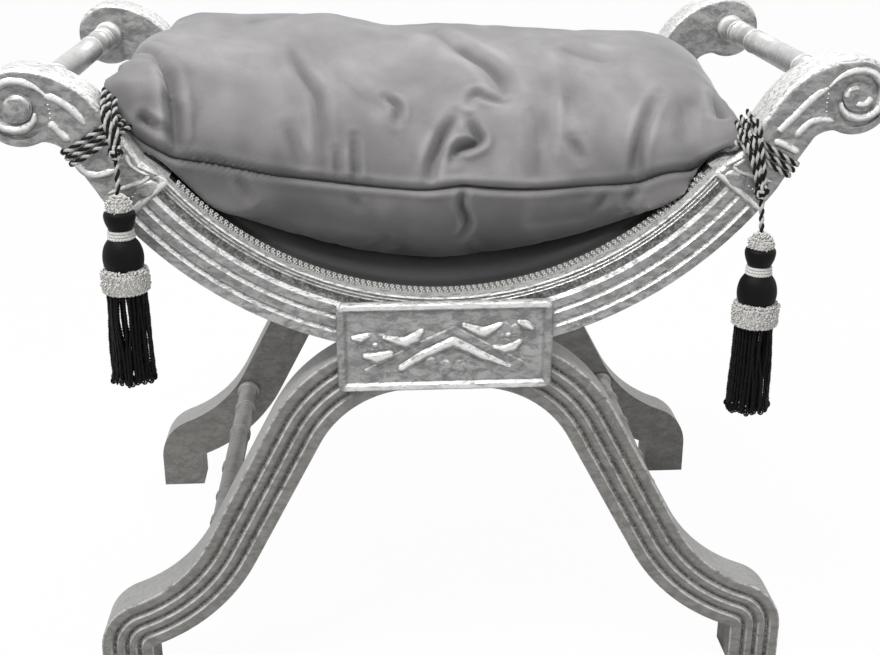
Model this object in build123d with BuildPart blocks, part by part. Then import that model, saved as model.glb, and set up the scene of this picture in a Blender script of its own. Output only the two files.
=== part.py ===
from build123d import *
import os
from math import cos, degrees, pi, radians, sin, sqrt

# An X-frame stool: two carved wooden frames, one in front and one behind, joined by
# turned rails, with a curved upholstered seat slung between them and a loose cushion
# tied to the front arms by twisted cords that end in tassels.
# Millimetres. Z up, the front looks along -Y, the floor is z = 0.

# Shared working sizes
overrun = 1.0  # how far a cutter runs past the face that it cuts
glue_gap = 0.1  # radial room for glue round a dowel or tenon
soft_gap = 0.4  # room between two soft pieces, or a soft piece and a hard one
swing_gap = 0.3  # room at the ball ends that the tassels swing on

# The two frames
frame_outer_y = 226.0  # outer face of each frame, from the middle of the stool
member_depth = 42.0  # front-to-back thickness of a frame
frame_inner_y = frame_outer_y - member_depth
frame_middle_y = frame_outer_y - member_depth / 2

# The arms: a round sweep under the seat, a straight waist and a scroll
arc_centre_z = 697.0
arc_top_radius = 305.0
arm_width = 53.0
arc_bottom_radius = arc_top_radius + arm_width
arc_middle_radius = arc_top_radius + arm_width / 2
arc_bottom_z = arc_centre_z - arc_bottom_radius
cuff_angle = 50.0  # where the round sweep ends, from straight down
waist_reach = 34.056  # middle of the waist, out from the sweep's end
waist_rise = 43.084  # and up from it
waist_x = arc_middle_radius * sin(radians(cuff_angle)) + waist_reach
waist_z = arc_centre_z - arc_middle_radius * cos(radians(cuff_angle)) + waist_rise
waist_heading = 57.0
waist_width = 47.0
waist_below = 26.0  # straight run of the waist below its middle
waist_above = 18.0  # and above it
scroll_reach = 62.0  # middle of the scroll, out from the middle of the waist
scroll_rise = 37.0  # and up from it
scroll_x = waist_x + scroll_reach
scroll_z = waist_z + scroll_rise
scroll_radius = 33.0
scroll_rim = 7.0
scroll_eye_radius = 12.0
scroll_recess = 4.0
arm_edge_round = 5.0
neck_bend_radius = 9.0  # softens each bend of the waist's outline
arm_relief = 3.0  # depth of the carved reeds on the outer face
rebate_depth = 4.0  # step in the top of the arm that takes the seat cover's edge
rim_width = 14.0  # the reeded rim left in front of that step

# Reeds across an arm: share of the width from the top, share of the relief depth
arm_reed_shares = [
    (0.0, 0.3), (0.028, 0.0), (0.057, 0.7), (0.085, 0.0), (0.113, 0.7),
    (0.142, 0.0), (0.17, 1.0), (0.30, 0.8), (0.37, 0.0), (0.50, 0.1),
    (0.53, 1.0), (0.60, 0.0), (0.74, 0.1), (0.77, 1.0), (0.84, 0.0), (1.0, 0.3),
]

# The legs: a flat arch under the arms, a long slope, a knee and an upright foot
leg_cope = 9.5  # how far the legs' middle line passes under the arms
leg_top_z = arc_bottom_z - leg_cope  # the arch where left and right legs meet
leg_width = 49.0
leg_flat_run = 27.0
leg_shoulder_radius = 123.0
leg_slope = 62.0
leg_sweep_radius = 163.0
leg_ankle_slope = 21.0
leg_ankle_run = 3.0
leg_knee_radius = 27.0
foot_height = 38.7
leg_bends_drop = (
    leg_shoulder_radius * (1 - cos(radians(leg_slope)))
    + leg_sweep_radius * (cos(radians(leg_ankle_slope)) - cos(radians(leg_slope)))
    + leg_ankle_run * sin(radians(leg_ankle_slope))
    + leg_knee_radius * cos(radians(leg_ankle_slope))
)
leg_slope_run = (leg_top_z - foot_height - leg_bends_drop) / sin(radians(leg_slope))
foot_x = (  # how far out the middle of a foot stands
    leg_flat_run + leg_shoulder_radius * sin(radians(leg_slope))
    + leg_slope_run * cos(radians(leg_slope))
    + leg_sweep_radius * (sin(radians(leg_slope)) - sin(radians(leg_ankle_slope)))
    + leg_ankle_run * cos(radians(leg_ankle_slope))
    + leg_knee_radius * (1 - sin(radians(leg_ankle_slope)))
)
leg_relief = 3.0
# Grooves across a leg: share of the width from the inner edge, share of the depth
leg_reed_shares = [
    (0.0, 0.25), (0.05, 0.0), (0.20, 0.0), (0.26, 1.0), (0.29, 1.0), (0.36, 0.0),
    (0.44, 0.0), (0.50, 1.0), (0.53, 1.0), (0.60, 0.0), (0.68, 0.0), (0.74, 1.0),
    (0.77, 1.0), (0.84, 0.0), (0.95, 0.0), (1.0, 0.25),
]

# The carved block over each crossing
block_width = 192.0
block_height = 84.0
block_overlap = 50.8  # how much of the block's height lies over the arms
block_bottom_z = arc_bottom_z + block_overlap - block_height
block_board = 5.0
block_corner = 7.0
block_bead = 7.0  # width of its raised border
block_relief = 3.0
chevron_rise = 24.0
chevron_span = 108.0
chevron_band = 8.0
flower_radius = 9.0
leaf_length = 36.0
leaf_width = 11.0
leaf_tilt = 12.0
drop_radius = 4.5

# Dowels that hold the frame members together
dowel_radius = 5.0
dowel_length = 60.0
dowel_hole_extra = 2.0
crossing_dowel_x = 55.0
crossing_dowel_length = 40.0
leg_dowel_y = 212.0

# The turned hand rails between the scrolls
hand_rail_radius = 12.0
hand_rail_bead = 14.5
hand_rail_collar = 15.5
hand_tenon_radius = 7.0
hand_tenon_length = 26.0

# The turned stretchers between the legs
stretcher_setback = 87.96  # in from the middle of the foot
stretcher_x = foot_x - stretcher_setback
stretcher_z = 128.0
stretcher_radius = 10.0
stretcher_bead = 12.0
stretcher_collar = 13.5
stretcher_tenon_radius = 6.0
stretcher_tenon_length = 24.0
bead_width = 4.5
collar_width = 9.0

# The plain rail between the two crossings
centre_rail_width = 40.0
centre_rail_height = 30.0
centre_rail_drop = 7.5  # below the top of the legs' middle line
centre_rail_z = leg_top_z - centre_rail_drop
rail_dowel_radius = 4.0
rail_dowel_length = 36.0
rail_dowel_x = 12.0

# The seat: bearers on the arms, end rails, straps, foam, cover, braid and dust cover
bearer_setdown = 17.0  # below the tops of the arms
bearer_top_radius = arc_top_radius + bearer_setdown
bearer_height = 23.0
bearer_width = 22.0
bearer_bottom_radius = bearer_top_radius + bearer_height
end_rail_inset = 1.6  # angle from the cuff back to the end rail's near side
end_rail_angle = cuff_angle - end_rail_inset
end_rail_sweep = 4.2
end_rail_top_radius = arc_top_radius + rebate_depth
strap_thickness = 1.8
strap_width = 50.0
strap_count = 8
foam_crown_rise = 6.5  # above the tops of the arms
foam_crown_radius = arc_top_radius - foam_crown_rise
foam_edge_radius = arc_top_radius
cover_thickness = 1.5
cover_lap = 6.0  # how far the cover slopes down onto the step of the arm
flange_overlap = 0.1  # angle by which the cover's flanges pass the end rails' near sides
flange_angle = end_rail_angle + flange_overlap
braid_width = 12.0
braid_thickness = 2.2
dust_cover_thickness = 1.0
screw_radius = 2.0
screw_length = 40.0
screw_head_radius = 4.0
screw_head_depth = 2.6
screw_clearance = 0.3
screw_angles = [-40.0, -25.0, -10.0, 10.0, 25.0, 40.0]
end_dowel_radius = 4.0
end_dowel_length = 36.0
end_dowel_spread = 20.0

# The loose cushion: it lies on the seat and reaches between the hand rails
cushion_end_room = 65.0  # from its ends to the middles of the hand rails
cushion_overhang = 14.0  # how far its front passes the frames' inner faces
cushion_height = 202.6  # from the seat to the top of its crown
cushion_half_width = scroll_x - cushion_end_room
cushion_half_depth = frame_inner_y + cushion_overhang
cushion_floor_radius = foam_crown_radius - cover_thickness - soft_gap
cushion_floor_z = arc_centre_z - cushion_floor_radius
cushion_floor_overlap = 0.8  # angle past the end rails up to which its underside is trimmed
cushion_floor_angle = end_rail_angle + end_rail_sweep + cushion_floor_overlap
cushion_trim = 3.0
# Cuts across it, from left to right; its right end has slipped down a little. Shares of
# the half width: place. Of the half depth: half depth. Of the height: seam and crown.
# Then the underside's half depth and height (None: it lies on the seat).
cushion_cut_shares = [
    (-1.0, 0.8333, 0.8174, 0.8716, 0.4500, 0.7532),
    (-0.9614, 0.9495, 0.7976, 0.9240, 0.5303, 0.6594),
    (-0.8842, 0.9848, 0.7483, 0.9852, 0.6465, 0.5607),
    (-0.7544, 1.0, 0.5903, 1.0, 0.6970, None),
    (-0.5439, 0.9949, 0.4620, 1.0, 0.7071, None),
    (-0.2807, 0.9798, 0.4077, 0.9803, 0.7071, None),
    (0.0, 0.9697, 0.3929, 0.9408, 0.7071, None),
    (0.2807, 0.9798, 0.3979, 0.9210, 0.7071, None),
    (0.5439, 0.9899, 0.4176, 0.9062, 0.7071, None),
    (0.7544, 0.9798, 0.4620, 0.8914, 0.6970, None),
    (0.8842, 0.9192, 0.5163, 0.8420, 0.6465, 0.4936),
    (0.9614, 0.8384, 0.5903, 0.7779, 0.5303, 0.5163),
    (1.0, 0.6616, 0.6496, 0.7137, 0.4040, 0.5953),
]

# The ties: a twisted cord wound round the waist of each front arm, its knot,
# the end that hangs from it and the tassel
cord_radius = 2.4
wind_gap = 0.3  # between the cord and the arm
wind_pitch = 5.8
wind_turns = 3
knot_radius = 7.5
knot_y = -(frame_outer_y + wind_gap + 2 * cord_radius + swing_gap + knot_radius)
tie_rise = 9.0  # how far the cord's end stands above the arm at the cushion's corner
tail_step = 11.0  # how far along the arm the last crossing lies past the winding
# side of the stool, first turn along the waist, height of the knot over the waist's middle
tie_places = {"left": (-1, 2.0, 2.0), "right": (1, -22.0, -41.0)}
tassel_inset = 17.4  # in from the middle of the waist
tassel_x = waist_x - tassel_inset
tassel_standoff = 24.0  # out from the frame's face
tassel_y = -(frame_outer_y + tassel_standoff)
tassel_drop = 32.5  # from the knot's centre to the top of the tassel
ruff_radius = 12.5
ruff_height = 14.0
cup_height = 15.0
cup_rim_radius = 13.4
cup_foot_radius = 10.4
band_height = 8.0
band_radius = 12.0
bulb_height = 27.0
bulb_radius = 17.5
bulb_neck_radius = 11.0
bulb_foot_radius = 15.0
collar_height = 20.0
collar_radius = 22.5
collar_core_radius = 14.0
skirt_height = 84.0
skirt_top_radius = 17.0
skirt_foot_radius = 20.0
skirt_strand_count = 16
skirt_strand_share = 1.2  # strand radius over half the spacing, so that strands join

os.makedirs("parts", exist_ok=True)


def finish(name, part):
    """Label one finished piece and write it."""
    part.label = name
    export_step(part, f"parts/{name}.step")


def arc_point(radius, angle):
    """A point of the arms' round sweep, as x and z, at an angle from straight down."""
    return (radius * sin(radians(angle)), arc_centre_z - radius * cos(radians(angle)))


def arc_plane(angle):
    """The plane through the sweep's axis at that angle: x is +Y, y points inwards."""
    return Plane(
        origin=(0, 0, arc_centre_z),
        x_dir=(0, 1, 0),
        z_dir=(cos(radians(angle)), 0, sin(radians(angle))),
    )


def sweep_axis(side):
    """The axis that turns a section from straight down towards that side."""
    return Axis((0, 0, arc_centre_z), (0, -side, 0))


def waist_point(side, along, across):
    """A point of the arm's waist, as x and z: along it, and across it to the top."""
    heading = radians(waist_heading)
    x = waist_x + along * cos(heading) - across * sin(heading)
    z = waist_z + along * sin(heading) + across * cos(heading)
    return (side * x, z)


def scroll_point(side, angle):
    """A point of the scroll's rim, as x and z."""
    x = scroll_x + scroll_radius * cos(radians(angle))
    return (side * x, scroll_z + scroll_radius * sin(radians(angle)))


def between(a, b, share, bulge=0.0):
    """The point at that share of the way from a to b, moved left by bulge times the way."""
    dx, dz = b[0] - a[0], b[1] - a[1]
    return (a[0] + share * dx - bulge * dz, a[1] + share * dz + bulge * dx)


def arc_rectangle(angle, inner, outer, low_radius, high_radius):
    """A rectangle in an arc plane, from y inner to outer and between two radii."""
    with BuildSketch(arc_plane(angle)) as section:
        with BuildLine():
            Polyline(
                (inner, -low_radius), (outer, -low_radius),
                (outer, -high_radius), (inner, -high_radius), close=True,
            )
        make_face()
    return section.sketch


def frame_slab(face):
    """The plane of a frame's forward side, from which member_depth reaches its rear."""
    return Plane.XZ.offset(frame_inner_y if face < 0 else -frame_outer_y)


def outer_plane(face):
    """The plane of a frame's outer face, looking outwards, with z up."""
    return Plane(
        origin=(0, face * frame_outer_y, 0), x_dir=(-face, 0, 0), z_dir=(0, face, 0)
    )


def inner_plane(face):
    """The plane of a frame's inner face, looking into the wood, with z up."""
    return Plane(
        origin=(0, face * frame_inner_y, 0), x_dir=(-face, 0, 0), z_dir=(0, face, 0)
    )


def arm_section(face):
    """The arm's section in the arc plane: reeds outside, a step at the inner top edge."""
    outer = []
    for width_share, depth_share in arm_reed_shares:
        y = face * (frame_outer_y - depth_share * arm_relief)
        outer.append((y, -(arc_top_radius + width_share * arm_width)))
    rim_y = face * (frame_outer_y - rim_width)
    inner_y = face * frame_inner_y
    step_radius = arc_top_radius + rebate_depth
    with BuildSketch(arc_plane(0)) as section:
        with BuildLine():
            Polyline(
                *outer, (inner_y, -arc_bottom_radius), (inner_y, -step_radius),
                (rim_y, -step_radius), (rim_y, -arc_top_radius), close=True,
            )
        make_face()
    return section.sketch


def neck_outline(side, face):
    """The waist, its run into the scroll and the scroll's disc."""
    half = waist_width / 2
    low_start_x = arc_point(arc_bottom_radius, cuff_angle)[0]
    low_start = (side * arc_point(arc_bottom_radius, cuff_angle)[0],
                 arc_point(arc_bottom_radius, cuff_angle)[1])
    high_start = (side * arc_point(arc_top_radius, cuff_angle)[0],
                  arc_point(arc_top_radius, cuff_angle)[1])
    low_waist = waist_point(side, -waist_below, -half)
    low_top = waist_point(side, waist_above, -half)
    high_waist = waist_point(side, -waist_below, half)
    high_top = waist_point(side, waist_above, half)
    scroll_low = scroll_point(side, -95)
    scroll_high = scroll_point(side, 97)
    with BuildSketch(frame_slab(face)) as outline:
        with BuildLine():
            low_middle = between(low_start, low_waist, 0.5, -0.04 * side)
            ThreePointArc(low_start, low_middle, low_waist)
            Line(low_waist, low_top)
            ThreePointArc(low_top, between(low_top, scroll_low, 0.5, 0.16 * side), scroll_low)
            Line(scroll_low, scroll_high)
            high_middle = between(scroll_high, high_top, 0.5, -0.13 * side)
            ThreePointArc(scroll_high, high_middle, high_top)
            Line(high_top, high_waist)
            Line(high_waist, high_start)
            Line(high_start, low_start)
        make_face()
        with Locations((side * scroll_x, scroll_z)):
            Circle(scroll_radius)
        bends = [v for v in outline.vertices() if abs(v.X) > low_start_x + arm_edge_round]
        fillet(bends, neck_bend_radius)
    return outline.sketch


def round_holes(plane, points, radius, depth):
    """Blind holes from a plane into the part that is being built."""
    with BuildSketch(plane) as holes:
        with Locations(*points):
            Circle(radius)
    extrude(holes.sketch, amount=depth, mode=Mode.SUBTRACT)


def plane_point(face, x, z):
    """A point on an inner or outer plane, from its x and z."""
    return (-face * x, z)


def make_arm(side, face):
    """One arm: sweep, waist and scroll, with its dowel, rail and screw holes."""
    with BuildPart() as arm:
        extrude(neck_outline(side, face), amount=member_depth)
        faces = arm.faces().filter_by(Axis.Y)
        cuff_x = arc_point(arc_top_radius, cuff_angle)[0]
        edges = [
            e for f in faces for e in f.edges()
            if abs(e.center().X) > cuff_x + arm_edge_round
            and not (e.geom_type == GeomType.LINE and cuts_sweep(e))
        ]
        fillet(edges, arm_edge_round)
        with BuildSketch(outer_plane(face)):
            with Locations(plane_point(face, side * scroll_x, scroll_z)):
                Circle(scroll_radius - scroll_rim)
                Circle(scroll_eye_radius, mode=Mode.SUBTRACT)
        extrude(amount=-scroll_recess, mode=Mode.SUBTRACT)
        revolve(arm_section(face), axis=sweep_axis(side), revolution_arc=cuff_angle)
        round_holes(
            inner_plane(face), [plane_point(face, side * scroll_x, scroll_z)],
            hand_tenon_radius + glue_gap, hand_tenon_length + dowel_hole_extra,
        )
        screws = [a for a in screw_angles if a * side > 0]
        screw_middle = bearer_top_radius + bearer_height / 2
        round_holes(
            inner_plane(face),
            [plane_point(face, *arc_point(screw_middle, a)) for a in screws],
            screw_radius + screw_clearance / 4,
            screw_length - bearer_width + dowel_hole_extra,
        )
        round_holes(
            inner_plane(face),
            [plane_point(face, *p) for p in end_dowel_points(side)],
            end_dowel_radius + glue_gap, end_dowel_length / 2 + dowel_hole_extra,
        )
        middle_z = arc_centre_z - arc_middle_radius
        with BuildSketch(Plane.YZ):
            with Locations((face * frame_middle_y, middle_z)):
                Circle(dowel_radius + glue_gap)
        extrude(amount=side * (dowel_length / 2 + dowel_hole_extra), mode=Mode.SUBTRACT)
        crossing_hole(side, face)
    return arm.part


def cuts_sweep(edge):
    """Whether an edge lies on the cut where the waist meets the sweep."""
    angle = radians(cuff_angle)
    off = [
        abs(p.X * cos(angle) * (1 if p.X > 0 else -1) - (arc_centre_z - p.Z) * sin(angle))
        for p in (edge @ 0, edge @ 1)
    ]
    return max(off) < overrun / 10


def end_dowel_points(side):
    """Centres of the two dowels at one end of a seat end rail, as x and z."""
    middle = (end_rail_top_radius + bearer_bottom_radius) / 2
    angle = side * (end_rail_angle + end_rail_sweep / 2)
    return [arc_point(middle + k * end_dowel_spread / 2, angle) for k in (-1, 1)]


def crossing_height():
    """Height where the leg arch meets the arm over a crossing dowel."""
    return arc_centre_z - sqrt(arc_bottom_radius**2 - crossing_dowel_x**2)


def crossing_hole(side, face):
    """The upright dowel hole that arm and leg share."""
    bottom = crossing_height() - crossing_dowel_length / 2 - dowel_hole_extra
    round_holes(
        Plane.XY.offset(bottom), [(side * crossing_dowel_x, face * frame_middle_y)],
        dowel_radius + glue_gap, crossing_dowel_length + 2 * dowel_hole_extra,
    )


def leg_path(side):
    """The middle line of a leg, from the crossing to the floor."""
    with BuildLine(Plane.XZ) as path:
        l1 = Line((0, leg_top_z), (side * leg_flat_run, leg_top_z))
        a1 = JernArc(l1 @ 1, l1 % 1, leg_shoulder_radius, -side * leg_slope)
        d1 = a1 % 1
        l2 = Line(a1 @ 1, (a1 @ 1) + d1 * leg_slope_run)
        a2 = JernArc(l2 @ 1, d1, leg_sweep_radius, side * (leg_slope - leg_ankle_slope))
        d2 = a2 % 1
        l3 = Line(a2 @ 1, (a2 @ 1) + d2 * leg_ankle_run)
        a3 = JernArc(l3 @ 1, d2, leg_knee_radius, -side * (90 - leg_ankle_slope))
        Line(a3 @ 1, ((a3 @ 1).X, 0, 0))
    return path


def make_leg(side, face):
    """One leg: a reeded bar swept along its middle line and coped under the arm."""
    half = leg_width / 2
    with BuildPart() as leg:
        path = leg_path(side)
        start = Plane(origin=(0, 0, leg_top_z), x_dir=(0, side, 0), z_dir=(side, 0, 0))
        with BuildSketch(start):
            outer = []
            for width_share, depth_share in leg_reed_shares:
                y = face * (frame_outer_y - depth_share * leg_relief)
                outer.append((side * y, width_share * leg_width - half))
            inner = side * face * frame_inner_y
            with BuildLine():
                Polyline(*outer, (inner, half), (inner, -half), close=True)
            make_face()
        sweep(path=path.wires()[0])
        with BuildSketch(Plane.XZ.offset(-frame_outer_y - overrun)):
            with Locations((0, arc_centre_z)):
                Circle(arc_bottom_radius)
        extrude(amount=2 * (frame_outer_y + overrun), mode=Mode.SUBTRACT)
        round_holes(
            inner_plane(face), [plane_point(face, side * stretcher_x, stretcher_z)],
            stretcher_tenon_radius + glue_gap, stretcher_tenon_length + dowel_hole_extra,
        )
        round_holes(
            inner_plane(face), [plane_point(face, side * rail_dowel_x, centre_rail_z)],
            rail_dowel_radius + glue_gap, rail_dowel_length / 2 + dowel_hole_extra,
        )
        with BuildSketch(Plane.YZ):
            with Locations((face * leg_dowel_y, centre_rail_z)):
                Circle(dowel_radius + glue_gap)
        extrude(amount=side * (dowel_length / 2 + dowel_hole_extra), mode=Mode.SUBTRACT)
        crossing_hole(side, face)
    return leg.part


def make_frame_dowels(face):
    """The four dowels inside one frame's crossing."""
    with BuildPart() as dowels:
        with BuildSketch(Plane.YZ.offset(-dowel_length / 2)):
            with Locations(
                (face * frame_middle_y, arc_centre_z - arc_middle_radius),
                (face * leg_dowel_y, centre_rail_z),
            ):
                Circle(dowel_radius)
        extrude(amount=dowel_length)
        with BuildSketch(Plane.XY.offset(crossing_height() - crossing_dowel_length / 2)):
            with Locations(
                (-crossing_dowel_x, face * frame_middle_y),
                (crossing_dowel_x, face * frame_middle_y),
            ):
                Circle(dowel_radius)
        extrude(amount=crossing_dowel_length)
    return dowels.part


def make_block(face):
    """The carved block: a board, a raised border, and leaves, flowers and drops."""
    middle_z = block_bottom_z + block_height / 2
    board = outer_plane(face)
    carved = board.offset(block_board)
    with BuildPart() as block:
        with BuildSketch(board):
            with Locations((0, middle_z)):
                RectangleRounded(block_width, block_height, block_corner)
        extrude(amount=block_board)
        with BuildSketch(carved):
            with Locations((0, middle_z)):
                RectangleRounded(block_width, block_height, block_corner)
                RectangleRounded(
                    block_width - 2 * block_bead, block_height - 2 * block_bead,
                    block_corner / 2, mode=Mode.SUBTRACT,
                )
            top = middle_z + block_height * 0.2
            foot = top - chevron_rise
            with BuildLine():
                Polyline(
                    (-chevron_span / 2, foot), (0, top), (chevron_span / 2, foot),
                    (chevron_span / 2 - chevron_band, foot - chevron_band / 2),
                    (0, top - chevron_band), (-chevron_span / 2 + chevron_band,
                                              foot - chevron_band / 2), close=True,
                )
            make_face()
            for side in (-1, 1):
                with Locations((side * block_width * 0.34, middle_z + block_height * 0.08)):
                    Circle(flower_radius)
                with Locations((side * block_width * 0.17, middle_z + block_height * 0.24)):
                    Ellipse(leaf_length / 2, leaf_width / 2, rotation=-side * leaf_tilt)
            drops_z = foot - chevron_band / 2
            with Locations(*[(k * 3 * drop_radius, drops_z) for k in (-1, 0, 1)]):
                Circle(drop_radius)
        extrude(amount=block_relief)
    return block.part


def turned_rail(x, z, body, bead, collar, tenon, tenon_length, rings):
    """A turned bar along Y between the frames, with a tenon at each end."""
    half = frame_inner_y
    ramp = bead - body
    points = [(-half - tenon_length, 0), (-half - tenon_length, tenon), (-half, tenon)]
    points += [(-half, collar), (-half + collar_width, collar)]
    points += [(-half + collar_width + ramp, body)]
    for share in rings:
        y = share * half
        points += [(y - bead_width / 2, body), (y - bead_width / 4, bead)]
        points += [(y + bead_width / 4, bead), (y + bead_width / 2, body)]
    points += [(half - collar_width - ramp, body), (half - collar_width, collar)]
    points += [(half, collar), (half, tenon)]
    points += [(half + tenon_length, tenon), (half + tenon_length, 0)]
    with BuildPart() as rail:
        with BuildSketch(Plane(origin=(x, 0, z), x_dir=(0, 1, 0), z_dir=(1, 0, 0))):
            with BuildLine():
                Polyline(*points, close=True)
            make_face()
        revolve(axis=Axis((x, 0, z), (0, 1, 0)))
    return rail.part


hand_ring_shares = [-0.80, -0.74, -0.44, 0.44, 0.74, 0.80]
stretcher_ring_shares = [-0.80, -0.74, -0.50, -0.16, -0.10, 0.30, 0.36, 0.66, 0.72]


def make_hand_rail(side):
    return turned_rail(
        side * scroll_x, scroll_z, hand_rail_radius, hand_rail_bead, hand_rail_collar,
        hand_tenon_radius, hand_tenon_length, hand_ring_shares,
    )


def make_stretcher(side):
    return turned_rail(
        side * stretcher_x, stretcher_z, stretcher_radius, stretcher_bead,
        stretcher_collar, stretcher_tenon_radius, stretcher_tenon_length,
        stretcher_ring_shares,
    )


def make_centre_rail():
    """The plain rail under the seat, from one crossing to the other."""
    with BuildPart() as rail:
        with BuildSketch(Plane.XZ.offset(-frame_inner_y)):
            with Locations((0, centre_rail_z)):
                Rectangle(centre_rail_width, centre_rail_height)
        extrude(amount=2 * frame_inner_y)
        for face in (-1, 1):
            with BuildSketch(inner_plane(face)):
                with Locations((rail_dowel_x, centre_rail_z), (-rail_dowel_x, centre_rail_z)):
                    Circle(rail_dowel_radius + glue_gap)
            extrude(amount=-rail_dowel_length / 2 - dowel_hole_extra, mode=Mode.SUBTRACT)
    return rail.part


def make_centre_rail_dowels():
    with BuildPart() as dowels:
        for face in (-1, 1):
            with BuildSketch(inner_plane(face).offset(-rail_dowel_length / 2)):
                with Locations((rail_dowel_x, centre_rail_z), (-rail_dowel_x, centre_rail_z)):
                    Circle(rail_dowel_radius)
            extrude(amount=rail_dowel_length)
    return dowels.part


def make_bearer(face):
    """A curved rail screwed to the inner faces of one frame's arms."""
    inner = face * (frame_inner_y - bearer_width)
    middle = bearer_top_radius + bearer_height / 2
    with BuildPart() as bearer:
        section = arc_rectangle(
            -end_rail_angle, inner, face * frame_inner_y,
            bearer_bottom_radius, bearer_top_radius,
        )
        revolve(section, axis=sweep_axis(1), revolution_arc=2 * end_rail_angle)
        near = Plane(origin=(0, inner, 0), x_dir=(-face, 0, 0), z_dir=(0, face, 0))
        spots = [plane_point(face, *arc_point(middle, a)) for a in screw_angles]
        with BuildSketch(near):
            with Locations(*spots):
                Circle(screw_radius + screw_clearance)
        extrude(amount=bearer_width, mode=Mode.SUBTRACT)
        for spot in spots:
            with BuildSketch(near):
                with Locations(spot):
                    Circle(screw_head_radius + screw_clearance)
            with BuildSketch(near.offset(screw_head_depth)):
                with Locations(spot):
                    Circle(screw_radius + screw_clearance)
            loft(mode=Mode.SUBTRACT)
    return bearer.part


def make_bearer_screws():
    """Countersunk wood screws through the bearers into the arms."""
    middle = bearer_top_radius + bearer_height / 2
    with BuildPart() as screws:
        for face in (-1, 1):
            for angle in screw_angles:
                x, z = arc_point(middle, angle)
                start = face * (frame_inner_y - bearer_width)
                with BuildSketch(Plane(origin=(x, start, z), x_dir=(0, face, 0),
                                       z_dir=(face, 0, 0))):
                    with BuildLine():
                        Polyline(
                            (0, 0), (0, screw_head_radius), (screw_head_depth, screw_radius),
                            (screw_length - screw_head_depth, screw_radius),
                            (screw_length, 0), close=True,
                        )
                    make_face()
                revolve(axis=Axis((x, start, z), (0, 1, 0)))
    return screws.part


def make_end_rail(side):
    """The rail across one end of the seat, between front and back arms."""
    with BuildPart() as rail:
        section = arc_rectangle(
            side * end_rail_angle, -frame_inner_y, frame_inner_y,
            bearer_bottom_radius, end_rail_top_radius,
        )
        revolve(section, axis=sweep_axis(side), revolution_arc=end_rail_sweep)
        for face in (-1, 1):
            with BuildSketch(inner_plane(face)):
                with Locations(*[plane_point(face, *p) for p in end_dowel_points(side)]):
                    Circle(end_dowel_radius + glue_gap)
            extrude(amount=-end_dowel_length / 2 - dowel_hole_extra, mode=Mode.SUBTRACT)
    return rail.part


def make_end_rail_dowels():
    with BuildPart() as dowels:
        for face in (-1, 1):
            spots = [p for side in (-1, 1) for p in end_dowel_points(side)]
            with BuildSketch(inner_plane(face).offset(-end_dowel_length / 2)):
                with Locations(*[plane_point(face, *p) for p in spots]):
                    Circle(end_dowel_radius)
            extrude(amount=end_dowel_length)
    return dowels.part


def make_webbing():
    """Straps across the seat, tacked to the tops of the bearers."""
    pitch = 2 * end_rail_angle / strap_count
    strap_sweep = degrees(strap_width / bearer_top_radius)
    reach = frame_inner_y - soft_gap
    with BuildPart() as webbing:
        for k in range(strap_count):
            start = -end_rail_angle + (k + 0.5) * pitch - strap_sweep / 2
            section = arc_rectangle(
                start, -reach, reach, bearer_top_radius, bearer_top_radius - strap_thickness
            )
            revolve(section, axis=sweep_axis(1), revolution_arc=strap_sweep)
    return webbing.part


def crown_line(reach, edge_radius, crown_radius):
    """The seat's crown from its back edge to its front edge."""
    ThreePointArc((reach, -edge_radius), (0, -crown_radius), (-reach, -edge_radius))


def make_foam():
    """The foam: crowned on top, on the straps in the middle and on the end rails."""
    reach = frame_inner_y - soft_gap
    over_straps = bearer_top_radius - strap_thickness
    with BuildPart() as foam:
        for start, sweep_angle, floor in (
            (-end_rail_angle, 2 * end_rail_angle, over_straps),
            (-end_rail_angle - end_rail_sweep, end_rail_sweep, end_rail_top_radius),
            (end_rail_angle, end_rail_sweep, end_rail_top_radius),
        ):
            with BuildSketch(arc_plane(start)):
                with BuildLine():
                    Line((-reach, -foam_edge_radius), (-reach, -floor))
                    Line((-reach, -floor), (reach, -floor))
                    Line((reach, -floor), (reach, -foam_edge_radius))
                    crown_line(reach, foam_edge_radius, foam_crown_radius)
                make_face()
            revolve(axis=sweep_axis(1), revolution_arc=sweep_angle)
    return foam.part


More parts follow.
